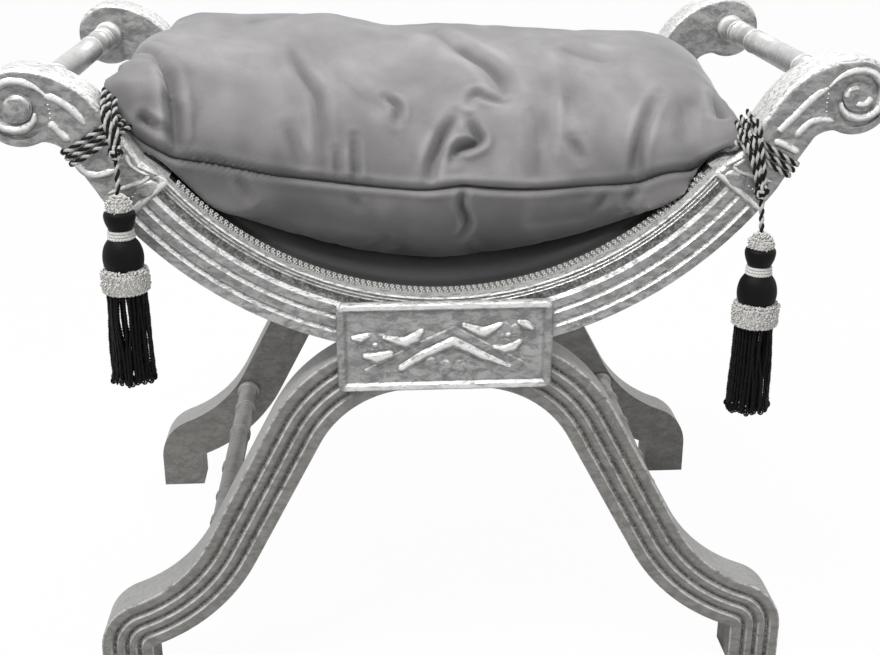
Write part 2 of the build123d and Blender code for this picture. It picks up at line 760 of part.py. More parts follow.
def make_cover():
    """The seat's cover: a crowned skin, flanges in the arms' steps, and end flaps."""
    reach = frame_inner_y - soft_gap
    edge = foam_edge_radius - cover_thickness
    crown = foam_crown_radius - cover_thickness
    full = end_rail_angle + end_rail_sweep
    flap = degrees(cover_thickness / arc_middle_radius)
    step = arc_top_radius + rebate_depth
    lip = frame_outer_y - rim_width - soft_gap
    with BuildPart() as cover:
        with BuildSketch(arc_plane(-full - flap)):
            with BuildLine():
                crown_line(reach, foam_edge_radius, foam_crown_radius)
                Line((-reach, -foam_edge_radius), (-reach, -edge))
                ThreePointArc((-reach, -edge), (0, -crown), (reach, -edge))
                Line((reach, -edge), (reach, -foam_edge_radius))
            make_face()
        revolve(axis=sweep_axis(1), revolution_arc=2 * (full + flap))
        for start in (-full - flap, full):
            with BuildSketch(arc_plane(start)):
                with BuildLine():
                    crown_line(reach, foam_edge_radius, foam_crown_radius)
                    Polyline(
                        (-reach, -foam_edge_radius), (-reach, -bearer_bottom_radius),
                        (reach, -bearer_bottom_radius), (reach, -foam_edge_radius),
                    )
                make_face()
            revolve(axis=sweep_axis(1), revolution_arc=flap)
        for face in (-1, 1):
            with BuildSketch(arc_plane(-flange_angle)):
                with BuildLine():
                    Polyline(
                        (face * reach, -edge),
                        (face * (frame_inner_y + cover_lap), -(step - cover_thickness)),
                        (face * lip, -(step - cover_thickness)), (face * lip, -step),
                        (face * reach, -step), close=True,
                    )
                make_face()
            revolve(axis=sweep_axis(1), revolution_arc=2 * flange_angle)
    return cover.part


def make_braid(face):
    """The flat braid that covers the cover's tacked edge."""
    lip = frame_outer_y - rim_width - soft_gap
    low = arc_top_radius + rebate_depth - cover_thickness
    with BuildPart() as braid:
        section = arc_rectangle(
            -flange_angle, face * (lip - braid_width), face * lip, low, low - braid_thickness
        )
        revolve(section, axis=sweep_axis(1), revolution_arc=2 * flange_angle)
    return braid.part


def make_dust_cover():
    """The thin cloth under the seat, tacked to the bearers' undersides."""
    reach = frame_inner_y - soft_gap
    with BuildPart() as dust_cover:
        section = arc_rectangle(
            -end_rail_angle, -reach, reach,
            bearer_bottom_radius + dust_cover_thickness, bearer_bottom_radius,
        )
        revolve(section, axis=sweep_axis(1), revolution_arc=2 * end_rail_angle)
    return dust_cover.part


def cushion_cut(place_share, depth_share, seam_share, crown_share, foot_share, rise_share):
    """One upright cut of the cushion: underside, two rising sides and the crown."""
    x = place_share * cushion_half_width
    half_depth = depth_share * cushion_half_depth
    foot_half = foot_share * cushion_half_depth
    seam_z = cushion_floor_z + seam_share * cushion_height
    crown_z = cushion_floor_z + crown_share * cushion_height
    if rise_share is None:
        foot_z = arc_centre_z - sqrt((cushion_floor_radius + cushion_trim) ** 2 - x**2)
    else:
        foot_z = cushion_floor_z + rise_share * cushion_height
    drop = seam_z - foot_z
    front, back = (-half_depth, seam_z), (half_depth, seam_z)
    foot_front, foot_back = (-foot_half, foot_z), (foot_half, foot_z)
    shoulder = (half_depth - foot_half) * 0.25
    with BuildSketch(Plane(origin=(x, 0, 0), x_dir=(0, 1, 0), z_dir=(1, 0, 0))) as cut:
        with BuildLine():
            ThreePointArc(front, (-half_depth + shoulder, seam_z - drop * 0.62), foot_front)
            Line(foot_front, foot_back)
            ThreePointArc(foot_back, (half_depth - shoulder, seam_z - drop * 0.62), back)
            ThreePointArc(back, (0, crown_z), front)
        make_face()
    return cut.sketch


def make_cushion():
    """The loose cushion: crowned on top, drawn in at its sides, curved to the seat."""
    with BuildPart() as cushion:
        loft([cushion_cut(*shares) for shares in cushion_cut_shares])
        section = arc_rectangle(
            -cushion_floor_angle, -frame_outer_y, frame_outer_y,
            arc_bottom_radius, cushion_floor_radius,
        )
        revolve(
            section, axis=sweep_axis(1), revolution_arc=2 * cushion_floor_angle,
            mode=Mode.SUBTRACT,
        )
    return cushion.part


def cord_tube(points, radii, radius):
    """A cord through the points: straight runs joined by arcs of the given radii."""
    with BuildPart() as tube:
        with BuildLine() as path:
            if radii:
                FilletPolyline(*points, radius=radii)
            else:
                Polyline(*points)
        wire = path.wires()[0]
        with BuildSketch(Plane(origin=wire @ 0, z_dir=wire % 0)):
            Circle(radius)
        sweep(path=wire)
    return tube.part, wire


def least_self_gap(wire, radius):
    """The least gap between turns of one cord, measured between points on its middle."""
    count = int(wire.length / radius)
    points = [wire @ (k / count) for k in range(count + 1)]
    apart = 5 * radius
    spacing = wire.length / count
    least = wire.length
    for i, a in enumerate(points):
        for j in range(i + int(apart / spacing) + 1, len(points)):
            least = min(least, (a - points[j]).length)
    return least - 2 * radius


def tie_route(side, first_turn, knot_z):
    """Corners of the cord: down from the cushion, round the waist, over and to the knot."""
    across = waist_width / 2 + wind_gap + cord_radius
    depth = member_depth / 2 + wind_gap + cord_radius
    corners = [(across, depth), (-across, depth), (-across, -depth), (across, -depth)]

    def place(along, high, out):
        x, z = waist_point(side, along, high)
        return (x, -frame_middle_y - out, z)

    points = [place(first_turn - wind_pitch / 4, across + tie_rise, -depth / 2)]
    for k in range(4 * wind_turns):
        high, out = corners[k % 4]
        points.append(place(first_turn + k * wind_pitch / 4, high, out))
    last = first_turn + wind_turns * wind_pitch
    out_over = depth + 2 * cord_radius + wind_gap
    points.append(place(last + tail_step, across, out_over))
    knot = Vector(side * tassel_x, knot_y, knot_z)
    towards = (Vector(*points[-1]) - knot).normalized()
    end = knot + towards * (knot_radius - cord_radius / 4)
    points.append((end.X, end.Y, end.Z))
    return points


def make_tie_cord(side, first_turn, knot_z):
    points = tie_route(side, first_turn, knot_z)
    corner = arm_edge_round + wind_gap + cord_radius
    runs = len(points) - 2
    part, wire = cord_tube(points, [corner] * runs, cord_radius)
    return part, wire, points


def make_knot(side, knot_z):
    with BuildPart() as knot:
        with Locations((side * tassel_x, knot_y, knot_z)):
            Sphere(knot_radius)
    return knot.part


def hanging_route(side, knot_z):
    """The cord's loose end: straight from the knot to the ball of the tassel's ruff."""
    knot = Vector(side * tassel_x, knot_y, knot_z)
    ball = Vector(side * tassel_x, tassel_y, knot_z - tassel_drop - ruff_radius)
    towards = (ball - knot).normalized()
    start = knot + towards * (knot_radius + swing_gap)
    end = ball - towards * (ruff_radius + swing_gap)
    return [(p.X, p.Y, p.Z) for p in (start, end)]


def tassel_turning(side, knot_z, points):
    """A turned tassel piece from its outline: radius, and height below the tassel's top."""
    top = knot_z - tassel_drop
    x = side * tassel_x
    with BuildPart() as piece:
        plane = Plane(origin=(x, tassel_y, top), x_dir=(1, 0, 0), z_dir=(0, -1, 0))
        with BuildSketch(plane):
            with BuildLine():
                outline_through(points)
            make_face()
        revolve(axis=Axis((x, tassel_y, top), (0, 0, 1)))
    return piece.part


def outline_through(points):
    """Straight lines, with an arc through each point that is marked with a third value."""
    pending = []
    start = points[0]
    first = start
    for point in points[1:] + [first]:
        if len(point) == 3:
            pending.append(point[:2])
            continue
        if pending:
            ThreePointArc(start[:2], pending[0], point)
            pending = []
        else:
            Line(start[:2], point)
        start = point


cup_top = ruff_height
band_top = cup_top + cup_height
bulb_top = band_top + band_height
collar_top = bulb_top + bulb_height
skirt_top = collar_top + collar_height


def make_ruff(side, knot_z):
    """The small ruff: a ball cut flat where it sits in the cup."""
    x, top = side * tassel_x, knot_z - tassel_drop
    size = 4 * ruff_radius
    with BuildPart() as ruff:
        with Locations((x, tassel_y, top - ruff_radius)):
            Sphere(ruff_radius)
        with Locations((x, tassel_y, top - ruff_height - size / 2)):
            Box(size, size, size, mode=Mode.SUBTRACT)
    return ruff.part


def make_cup(side, knot_z):
    rim = cup_top + cup_height * 0.25
    return tassel_turning(side, knot_z, [
        (0, -cup_top), (cup_rim_radius * 0.9, -cup_top), (cup_rim_radius, -rim),
        (cup_rim_radius * 0.92, -(rim + band_top) / 2, 1),
        (cup_foot_radius, -band_top), (0, -band_top),
    ])


def make_band(side, knot_z):
    return tassel_turning(side, knot_z, [
        (0, -band_top), (band_radius * 0.93, -band_top),
        (band_radius, -(band_top + bulb_top) / 2, 1),
        (band_radius * 0.93, -bulb_top), (0, -bulb_top),
    ])


def make_bulb(side, knot_z):
    return tassel_turning(side, knot_z, [
        (0, -bulb_top), (bulb_neck_radius, -bulb_top),
        (bulb_radius, -(bulb_top + bulb_height * 0.6), 1),
        (bulb_foot_radius, -collar_top), (0, -collar_top),
    ])


def make_collar(side, knot_z):
    return tassel_turning(side, knot_z, [
        (0, -collar_top), (collar_core_radius, -collar_top),
        (collar_radius, -(collar_top + skirt_top) / 2, 1),
        (collar_core_radius, -skirt_top), (0, -skirt_top),
    ])


def make_skirt(side, knot_z):
    """The fringe: thick strands side by side round a core, flaring a little."""
    x, top = side * tassel_x, knot_z - tassel_drop - skirt_top
    ends = [(top, skirt_top_radius), (top - skirt_height, skirt_foot_radius)]
    step = 2 * pi / skirt_strand_count
    with BuildPart() as skirt:
        for k in range(-1, skirt_strand_count):
            for z, radius in ends:
                strand = radius * sin(step / 2) * skirt_strand_share
                ring = 0 if k < 0 else radius - strand
                with BuildSketch(Plane.XY.offset(z)):
                    with Locations((x + ring * cos(k * step), tassel_y + ring * sin(k * step))):
                        Circle(radius - strand if k < 0 else strand)
            loft()
    return skirt.part


sides = {"left": -1, "right": 1}
faces = {"front": -1, "back": 1}
for face_name, face in faces.items():
    for side_name, side in sides.items():
        finish(f"{face_name}_{side_name}_arm", make_arm(side, face))
        finish(f"{face_name}_{side_name}_leg", make_leg(side, face))
    finish(f"{face_name}_centre_block", make_block(face))
    finish(f"{face_name}_frame_dowels", make_frame_dowels(face))
    finish(f"{face_name}_seat_bearer", make_bearer(face))
    finish(f"{face_name}_gimp_braid", make_braid(face))
for side_name, side in sides.items():
    finish(f"{side_name}_hand_rail", make_hand_rail(side))
    finish(f"{side_name}_leg_stretcher", make_stretcher(side))
    finish(f"{side_name}_seat_end_rail", make_end_rail(side))
finish("centre_rail", make_centre_rail())
finish("centre_rail_dowels", make_centre_rail_dowels())
finish("bearer_screws", make_bearer_screws())
finish("end_rail_dowels", make_end_rail_dowels())
finish("seat_webbing", make_webbing())
finish("seat_foam", make_foam())
finish("seat_cover", make_cover())
finish("dust_cover", make_dust_cover())
finish("seat_cushion", make_cushion())
for name, (side, first_turn, knot_rise) in tie_places.items():
    knot_z = waist_z + knot_rise
    cord, wire, route = make_tie_cord(side, first_turn, knot_z)
    finish(f"{name}_tie_cord", cord)
    finish(f"{name}_tie_knot", make_knot(side, knot_z))
    print(name, "tie cord length", round(wire.length, 1), "volume over section x length",
          round(cord.volume / (pi * cord_radius**2 * wire.length), 4))
    print(name, "tie cord bend radius", arm_edge_round + wind_gap + cord_radius,
          "least gap to itself", round(least_self_gap(wire, cord_radius), 2))
    hanging, hang_wire = cord_tube(hanging_route(side, knot_z), [], cord_radius)
    finish(f"{name}_hanging_cord", hanging)
    print(name, "hanging cord length", round(hang_wire.length, 1))
    finish(f"{name}_tassel_ruff", make_ruff(side, knot_z))
    finish(f"{name}_tassel_cup", make_cup(side, knot_z))
    finish(f"{name}_tassel_band", make_band(side, knot_z))
    finish(f"{name}_tassel_bulb", make_bulb(side, knot_z))
    finish(f"{name}_tassel_collar", make_collar(side, knot_z))
    finish(f"{name}_tassel_skirt", make_skirt(side, knot_z))
print("middle of a foot at x", round(foot_x, 2))
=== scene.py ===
import math

import bmesh
import bpy
import numpy as np
from mathutils import Matrix, Vector, noise
from mathutils.bvhtree import BVHTree


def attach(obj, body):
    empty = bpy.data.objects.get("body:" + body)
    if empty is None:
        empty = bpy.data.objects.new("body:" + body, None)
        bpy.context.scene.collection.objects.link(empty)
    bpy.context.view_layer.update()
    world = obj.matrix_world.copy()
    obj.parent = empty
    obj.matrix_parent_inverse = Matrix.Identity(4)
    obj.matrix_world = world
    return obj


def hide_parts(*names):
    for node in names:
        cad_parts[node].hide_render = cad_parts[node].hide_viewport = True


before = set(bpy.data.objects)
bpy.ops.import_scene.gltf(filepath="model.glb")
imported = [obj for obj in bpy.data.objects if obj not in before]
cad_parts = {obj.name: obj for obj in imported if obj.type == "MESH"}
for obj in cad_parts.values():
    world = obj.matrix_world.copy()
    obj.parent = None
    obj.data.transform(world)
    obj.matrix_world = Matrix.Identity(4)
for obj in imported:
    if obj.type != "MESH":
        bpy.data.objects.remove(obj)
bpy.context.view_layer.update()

bl_info = {
    "name": "X-frame stool",
    "version": (1, 0, 0),
    "blender": (4, 5, 0),
    "location": "View3D > Sidebar > Stool",
    "description": "Builds a carved, silver-leafed stool with a tied velvet cushion",
    "category": "Object",
}

SIDES = {"left": -1, "right": 1}
FRAMES = {"front": -1, "back": 1}
ROOT = "stool"

# Sizes of the stool in millimetres and degrees, as the solids have them
OUTER_Y = 226.0  # outer, inner and middle planes of a frame
INNER_Y = 184.0
MIDDLE_Y = 205.0
ARC_Z = 697.0  # centre of the arms' round sweep, and its upper and lower radius
ARC_TOP = 305.0
ARC_LOW = 358.0
CUFF = 50.0  # turn from straight down at which the sweep meets the neck
SCROLL = (350.0, 564.0)
WAIST = (288.0, 527.0)
WAIST_TURN = math.radians(57.0)
STRETCHER = (219.0, 128.0)
BLOCK = (96.0, 42.0)  # half width and half height of a centre block
BLOCK_Z = 347.8
SEAT_Y = 183.6  # half depth of the seat's skin
SEAT_TURN = 48.5  # turns at which the seat's edges and its ends stop
SEAT_END_TURN = 52.86


# Small helpers


def arc_xz(radius, degrees):
    """A point of the arms' round sweep, from straight down."""
    a = math.radians(degrees)
    return radius * math.sin(a), ARC_Z - radius * math.cos(a)


def waist_xz(along, across):
    """A point of the right arm's waist: along it, and across it to the top."""
    c, s = math.cos(WAIST_TURN), math.sin(WAIST_TURN)
    return WAIST[0] + along * c - across * s, WAIST[1] + along * s + across * c


def smooth_step(low, high, value):
    t = np.clip((value - low) / (high - low), 0.0, 1.0)
    return t * t * (3 - 2 * t)


def in_metres(points):
    return [tuple(float(c) / 1000 for c in p) for p in points]


def new_object(name, verts, faces, smooth=True):
    """A mesh object at the origin, from points in millimetres."""
    mesh = bpy.data.meshes.new(name)
    mesh.from_pydata(in_metres(verts), [], faces)
    mesh.validate()
    mesh.shade_smooth() if smooth else mesh.shade_flat()
    thing = bpy.data.objects.new(name, mesh)
    bpy.context.scene.collection.objects.link(thing)
    return thing


def place_piece(thing, finish, body=ROOT, replaces=()):
    """Gives a piece its finish, its body and the solids that it stands for."""
    thing.data.materials.clear()
    thing.data.materials.append(finish)
    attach(thing, body)
    if replaces:
        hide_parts(*replaces)
    return thing


def outward(thing):
    """Turns every face of a closed mesh outwards."""
    bm = bmesh.new()
    bm.from_mesh(thing.data)
    bmesh.ops.remove_doubles(bm, verts=bm.verts, dist=1e-6)
    bmesh.ops.recalc_face_normals(bm, faces=bm.faces)
    bm.to_mesh(thing.data)
    bm.free()
    return thing


def through(points, steps, closed=False):
    """A smooth line through the points, with that many steps on each run."""
    p = np.array(points, float)
    n = len(p)
    out = []
    for i in range(n if closed else n - 1):
        if closed:
            a, b, c, d = p[(i - 1) % n], p[i], p[(i + 1) % n], p[(i + 2) % n]
        else:
            a, b, c, d = p[max(i - 1, 0)], p[i], p[i + 1], p[min(i + 2, n - 1)]
        for k in range(steps):
            t = k / steps
            out.append(0.5 * ((2 * b) + (c - a) * t + (2 * a - 5 * b + 4 * c - d) * t * t
                              + (3 * b - a - 3 * c + d) * t ** 3))
    if not closed:
        out.append(p[-1])
    return np.array(out)


def frames_along(line, closed=False):
    """Tangent and two cross directions at each point, carried along without twist."""
    line = np.asarray(line, float)
    if closed:
        tangent = np.roll(line, -1, 0) - np.roll(line, 1, 0)
    else:
        tangent = np.gradient(line, axis=0)
    tangent /= np.maximum(np.linalg.norm(tangent, axis=1)[:, None], 1e-9)
    first = np.array([0.0, 0.0, 1.0])
    if abs(tangent[0] @ first) > 0.9:
        first = np.array([0.0, 1.0, 0.0])
    side = np.zeros_like(line)
    side[0] = first - tangent[0] * (first @ tangent[0])
    side[0] /= np.linalg.norm(side[0])
    for i in range(1, len(line)):
        s = side[i - 1] - tangent[i] * (side[i - 1] @ tangent[i])
        side[i] = s / max(np.linalg.norm(s), 1e-9)
    return tangent, side, np.cross(tangent, side)


def ring_faces(rings, count, closed=False):
    """Faces between rings of points that follow each other."""
    faces = []
    for i in range(rings if closed else rings - 1):
        a, b = i * count, (i + 1) % rings * count
        for k in range(count):
            m = (k + 1) % count
            faces.append((a + k, a + m, b + m, b + k))
    return faces


def tube(line, radius, sides=8, closed=False, flat=1.0):
    """Points and faces of a round or flattened tube along a line."""
    line = np.asarray(line, float)
    _, a, b = frames_along(line, closed)
    radius = np.broadcast_to(np.asarray(radius, float), (len(line),))
    turn = np.arange(sides) * 2 * math.pi / sides
    verts = (line[:, None, :]
             + a[:, None, :] * (np.cos(turn)[None, :, None] * radius[:, None, None])
             + b[:, None, :] * (np.sin(turn)[None, :, None] * radius[:, None, None] * flat))
    faces = ring_faces(len(line), sides, closed)
    if not closed:
        faces.append(tuple(range(sides))[::-1])
        faces.append(tuple((len(line) - 1) * sides + k for k in range(sides)))
    return verts.reshape(-1, 3), faces


def join(parts):
    """One list of points and faces from several."""
    verts, faces, base = [], [], 0
    for v, f in parts:
        verts.append(np.asarray(v, float))
        faces.extend(tuple(i + base for i in face) for face in f)
        base += len(v)
    return np.concatenate(verts), faces


def lathe(profile, base, axis, steps=40):
    """Points and faces of a turned form: profile of (radius, way along the axis)."""
    axis = np.array(axis, float)
    axis /= np.linalg.norm(axis)
    u = np.cross(axis, [0.0, 0.0, 1.0] if abs(axis[2]) < 0.9 else [1.0, 0.0, 0.0])
    u /= np.linalg.norm(u)
    w = np.cross(axis, u)
    verts = []
    for radius, way in profile:
        for k in range(steps):
            t = 2 * math.pi * k / steps
            verts.append(np.array(base) + axis * way
                         + (u * math.cos(t) + w * math.sin(t)) * max(radius, 0.001))
    faces = ring_faces(len(profile), steps)
    faces.append(tuple(range(steps))[::-1])
    faces.append(tuple((len(profile) - 1) * steps + k for k in range(steps)))
    return np.array(verts), faces


def grid_faces(rows, columns):
    return [(i * columns + j, i * columns + j + 1, (i + 1) * columns + j + 1, (i + 1) * columns + j)
            for i in range(rows - 1) for j in range(columns - 1)]


def rock(points, scale, amount, seed=0.0):
    """Small hand-made unevenness: three noise values for every point."""
    return np.array([[amount * noise.noise(Vector(p) * scale + Vector((seed + 31.0 * k, 0, 0)))
                      for k in range(3)] for p in points])


# Shader helpers


class Value:
    """A shader socket that can stand in a Python sum."""

    def __init__(self, finish, socket):
        self.finish = finish
        self.socket = socket

    def maths(self, operation, *others, first=None):
        values = [self, *others] if first is None else [first, self]
        return self.finish.node("ShaderNodeMath", {"operation": operation}, values)

    def __add__(self, other):
        return self.maths("ADD", other)

    __radd__ = __add__

    def __mul__(self, other):
        return self.maths("MULTIPLY", other)

    __rmul__ = __mul__

    def __sub__(self, other):
        return self.maths("SUBTRACT", other)

    def __rsub__(self, other):
        return self.maths("SUBTRACT", first=other)

    def __truediv__(self, other):
        return self.maths("DIVIDE", other)

    def __abs__(self):
        return self.maths("ABSOLUTE")

    def sine(self):
        return self.maths("SINE")

    def most(self, other):
        return self.maths("MAXIMUM", other)

    def step(self, low, high):
        return self.finish.node("ShaderNodeMapRange", {"interpolation_type": "SMOOTHSTEP"},
                                [self, low, high, 0.0, 1.0])


class Finish:
    """One material: a Principled shader and the nodes that feed it."""

    def __init__(self, name, roughness=0.5, metallic=0.0, **constants):
        self.material = bpy.data.materials.new(name)
        self.material.use_nodes = True
        self.tree = self.material.node_tree
        self.tree.nodes.clear()
        self.shader = self.tree.nodes.new("ShaderNodeBsdfPrincipled")
        out = self.tree.nodes.new("ShaderNodeOutputMaterial")
        self.tree.links.new(self.shader.outputs[0], out.inputs[0])
        self.shader.inputs["Roughness"].default_value = roughness
        self.shader.inputs["Metallic"].default_value = metallic
        for key, value in constants.items():
            self.shader.inputs[key.replace("_", " ")].default_value = value

    def node(self, kind, settings=None, values=(), output=0):
        """Adds a node: first its settings, then the values or links of its sockets."""
        made = self.tree.nodes.new(kind)
        for key, value in (settings or {}).items():
            setattr(made, key, value)
        pairs = values.items() if isinstance(values, dict) else enumerate(values)
        for key, value in pairs:
            socket = made.inputs[key]
            if isinstance(value, Value):
                self.tree.links.new(value.socket, socket)
            elif value is not None:
                socket.default_value = value
        return Value(self, made.outputs[output])

    def place(self):
        return self.node("ShaderNodeTexCoord", output="Object")

    def axis(self, which):
        return self.node("ShaderNodeSeparateXYZ", values=[self.place()], output=which)

    def attribute(self, name):
        return self.node("ShaderNodeAttribute", {"attribute_name": name}, output="Fac")

    def upwards(self):
        """How far the surface faces up, -1 to 1."""
        normal = self.node("ShaderNodeTexCoord", output="Normal")
        return self.node("ShaderNodeSeparateXYZ", values=[normal], output=2)

    def noise(self, scale, detail=3.0, rough=0.55, place=None, distortion=0.0):
        return self.node("ShaderNodeTexNoise", values={
            "Vector": place or self.place(), "Scale": scale, "Detail": detail,
            "Roughness": rough, "Distortion": distortion})

    def stretched(self, x, y, z):
        return self.node("ShaderNodeMapping", values={"Vector": self.place(), "Scale": (x, y, z)})

    def mix(self, share, a, b):
        """A colour between a and b."""
        return self.node("ShaderNodeMix", {"data_type": "RGBA"}, {0: share, 6: a, 7: b}, output=2)

    def feed(self, socket, value):
        self.tree.links.new(value.socket, self.shader.inputs[socket])

    def bump(self, height, distance, strength=1.0, after=None):
        made = self.node("ShaderNodeBump", values={
            "Strength": strength, "Distance": distance, "Height": height, "Normal": after})
        self.feed("Normal", made)
        return made


def rgba(colour, shade=1.0):
    return (colour[0] * shade, colour[1] * shade, colour[2] * shade, 1.0)


PAINTED_HIGHLIGHT = (0.79, 0.79, 0.78)  # painted highlight: bright leaf colour painted on upper sides, groove lips and marked crests, where light from above falls


def leaf_finish(name, colour, dark, roughness, metallic, grain, wear, groove, upper):
    """Metal leaf over carved wood: brushed grain, painted highlights on upper sides, dark grooves.

    Takes the grain's height, and shares for worn specks, dirt in grooves and the painted highlight on
    top."""
    f = Finish(name, roughness, metallic, Specular_IOR_Level=0.5)
    patches = f.noise(24.0, 3.0, 0.55)
    fine = f.noise(420.0, 3.0, 0.65)
    brushed = f.noise(150.0, 4.0, 0.7, place=f.stretched(0.55, 1.0, 1.0), distortion=0.5)
    facing = f.upwards()
    # painted highlight: surfaces that face up are painted bright, as if lit from above
    lit_from_above = (facing + (brushed - 0.5) * 0.5).step(0.18, 0.46) * upper
    from_middle = abs(f.axis("Y"))

    def under(depth):
        return (OUTER_Y - depth) / 1000

    carved = from_middle.step(under(3.6), under(3.3))
    hollow = carved * (1.0 - from_middle.step(under(3.2), under(1.0))) * groove
    # painted light marked on the mesh: painted shade below 0, painted highlight above 0
    light_marks = f.attribute("painted_light")
    specks = fine.step(0.60 - wear * 0.1, 0.74)
    base = f.mix(brushed.step(0.36, 0.64), rgba(colour, 0.8 - 0.2 * upper),
                 rgba(colour, 1.1 + 0.2 * upper))
    base = f.mix(patches.step(0.35, 0.7) * 0.35, base, rgba(colour, 0.78))
    # painted highlight: pale lines on the up-facing lips of the grooves
    lip = from_middle.step(under(1.9), under(1.1)) * (1.0 - from_middle.step(under(0.5), under(0.15)))
    base = f.mix(hollow * (1.0 - lit_from_above) * fine.step(0.34, 0.6), base, rgba(dark, 0.7))
    base = f.mix(lip * facing.step(-0.3, 0.3) * brushed.step(0.3, 0.6) * 0.7, base, rgba(PAINTED_HIGHLIGHT))
    # painted shade where the marks are below 0, painted highlight where they are above 0 or the
    # surface faces up
    base = f.mix((light_marks * -1.0).step(0.0, 1.0) * 0.75, base, rgba(dark))
    base = f.mix((light_marks * facing.step(-0.5, 0.1)).most(lit_from_above), base, rgba(PAINTED_HIGHLIGHT))
    # streaks that break up the painted highlight
    streaks = f.noise(300.0, 3.0, 0.7, place=f.stretched(0.35, 1.0, 1.0), distortion=0.8)
    base = f.mix(streaks.step(0.48, 0.6) * lit_from_above * 0.8, base, rgba(colour, 0.85))
    base = f.mix(specks * (0.32 + wear), base, rgba(dark))
    f.feed("Base Color", base)
    f.feed("Roughness", fine * 0.2 + (roughness - 0.1))
    f.feed("Metallic", (1.0 - specks * 0.6) * metallic)
    f.bump(fine * 0.6 + brushed * 0.6 + patches * 0.5, grain)
    return f.material


def cloth_finish(name, colour, dark, pile, weave=0.0, sheen=0.4):
    """Short velvet or plain cloth: soft patches of pile, a fine grain, and painted shade and
    highlights.
    """
    f = Finish(name, 0.85, 0.0, Sheen_Weight=sheen, Sheen_Roughness=0.45,
               Specular_IOR_Level=0.2)
    broad = f.noise(9.0, 3.0, 0.5, distortion=0.6)
    fine = f.noise(900.0, 2.0, 0.6)
    mid = f.noise(60.0, 3.0, 0.6)
    base = f.mix(broad.step(0.3, 0.7), rgba(dark), rgba(colour))
    base = f.mix((mid * 0.5 + fine * 0.5).step(0.35, 0.65) * 0.35, base, rgba(dark, 0.85))
    # painted shade: cloth that faces sideways or down is made darker
    facing = f.upwards()
    base = f.mix((1.0 - facing.step(0.05, 0.9)) * 0.56, base, rgba(dark, 0.5))
    # painted shade in the folds and painted highlight on their crests, with random pile tone
    nap_and_shading = f.attribute("nap_and_shading")
    base = f.mix((nap_and_shading * -1.0).step(0.0, 1.0) * 0.62, base, rgba(dark, 0.35))
    base = f.mix(nap_and_shading.step(0.0, 0.8) * 0.55, base, rgba(colour, 1.4))
    # painted shadow along the seam
    base = f.mix(f.attribute("seam") * 0.8, base, rgba(dark, 0.2))
    f.feed("Base Color", base)
    height = fine * 0.6 + mid * 0.4
    if weave:
        turns = 2 * math.pi / weave
        height = height + (f.axis("X") * turns).sine() * (f.axis("Y") * turns).sine() * 0.8
    f.bump(height, pile)
    return f.material


def wood_finish(name, colour, dark):
    """Bare hardwood with long grain along X."""
    f = Finish(name, 0.6, 0.0)
    grain = f.noise(40.0, 4.0, 0.6, place=f.stretched(0.12, 1.0, 1.0), distortion=0.8)
    pores = f.noise(600.0, 2.0, 0.6, place=f.stretched(0.05, 1.0, 1.0))
    f.feed("Base Color", f.mix(grain.step(0.35, 0.65), rgba(dark), rgba(colour)))
    f.bump(grain * 0.6 + pores * 0.4, 0.0003)
    return f.material


def cord_finish(name, light, dark):
    """Twisted thread: the ply attribute tells the light ply from the dark."""
    f = Finish(name, 0.7, 0.0, Sheen_Weight=0.03, Specular_IOR_Level=0.15)
    ply = f.attribute("ply")
    fibres = f.noise(1500.0, 2.0, 0.6)
    base = f.mix(ply, rgba(dark), rgba(light))
    base = f.mix(fibres.step(0.45, 0.75) * 0.45, base, rgba(dark))
    f.feed("Base Color", base)
    f.bump(fibres, 0.0003)
    return f.material


def silk_finish(name, colour, roughness, gloss):
    """Plain thread of one colour, with fine fibres along it."""
    f = Finish(name, roughness, 0.0, Sheen_Weight=0.04, Specular_IOR_Level=gloss)
    fibres = f.noise(1400.0, 2.0, 0.6, place=f.stretched(1.0, 1.0, 0.25))
    f.feed("Base Color", f.mix(fibres.step(0.35, 0.7) * 0.5, rgba(colour), rgba(colour, 0.55)))
    f.bump(fibres, 0.0002)
    return f.material


def steel_finish(name, colour):
    f = Finish(name, 0.4, 0.9)
    scratches = f.noise(500.0, 2.0, 0.6, place=f.stretched(0.2, 1.0, 1.0))
    f.feed("Base Color", f.mix(scratches, rgba(colour, 0.85), rgba(colour)))
    f.feed("Roughness", scratches * 0.2 + 0.3)
    f.bump(scratches, 0.0001)
    return f.material


finishes = {}


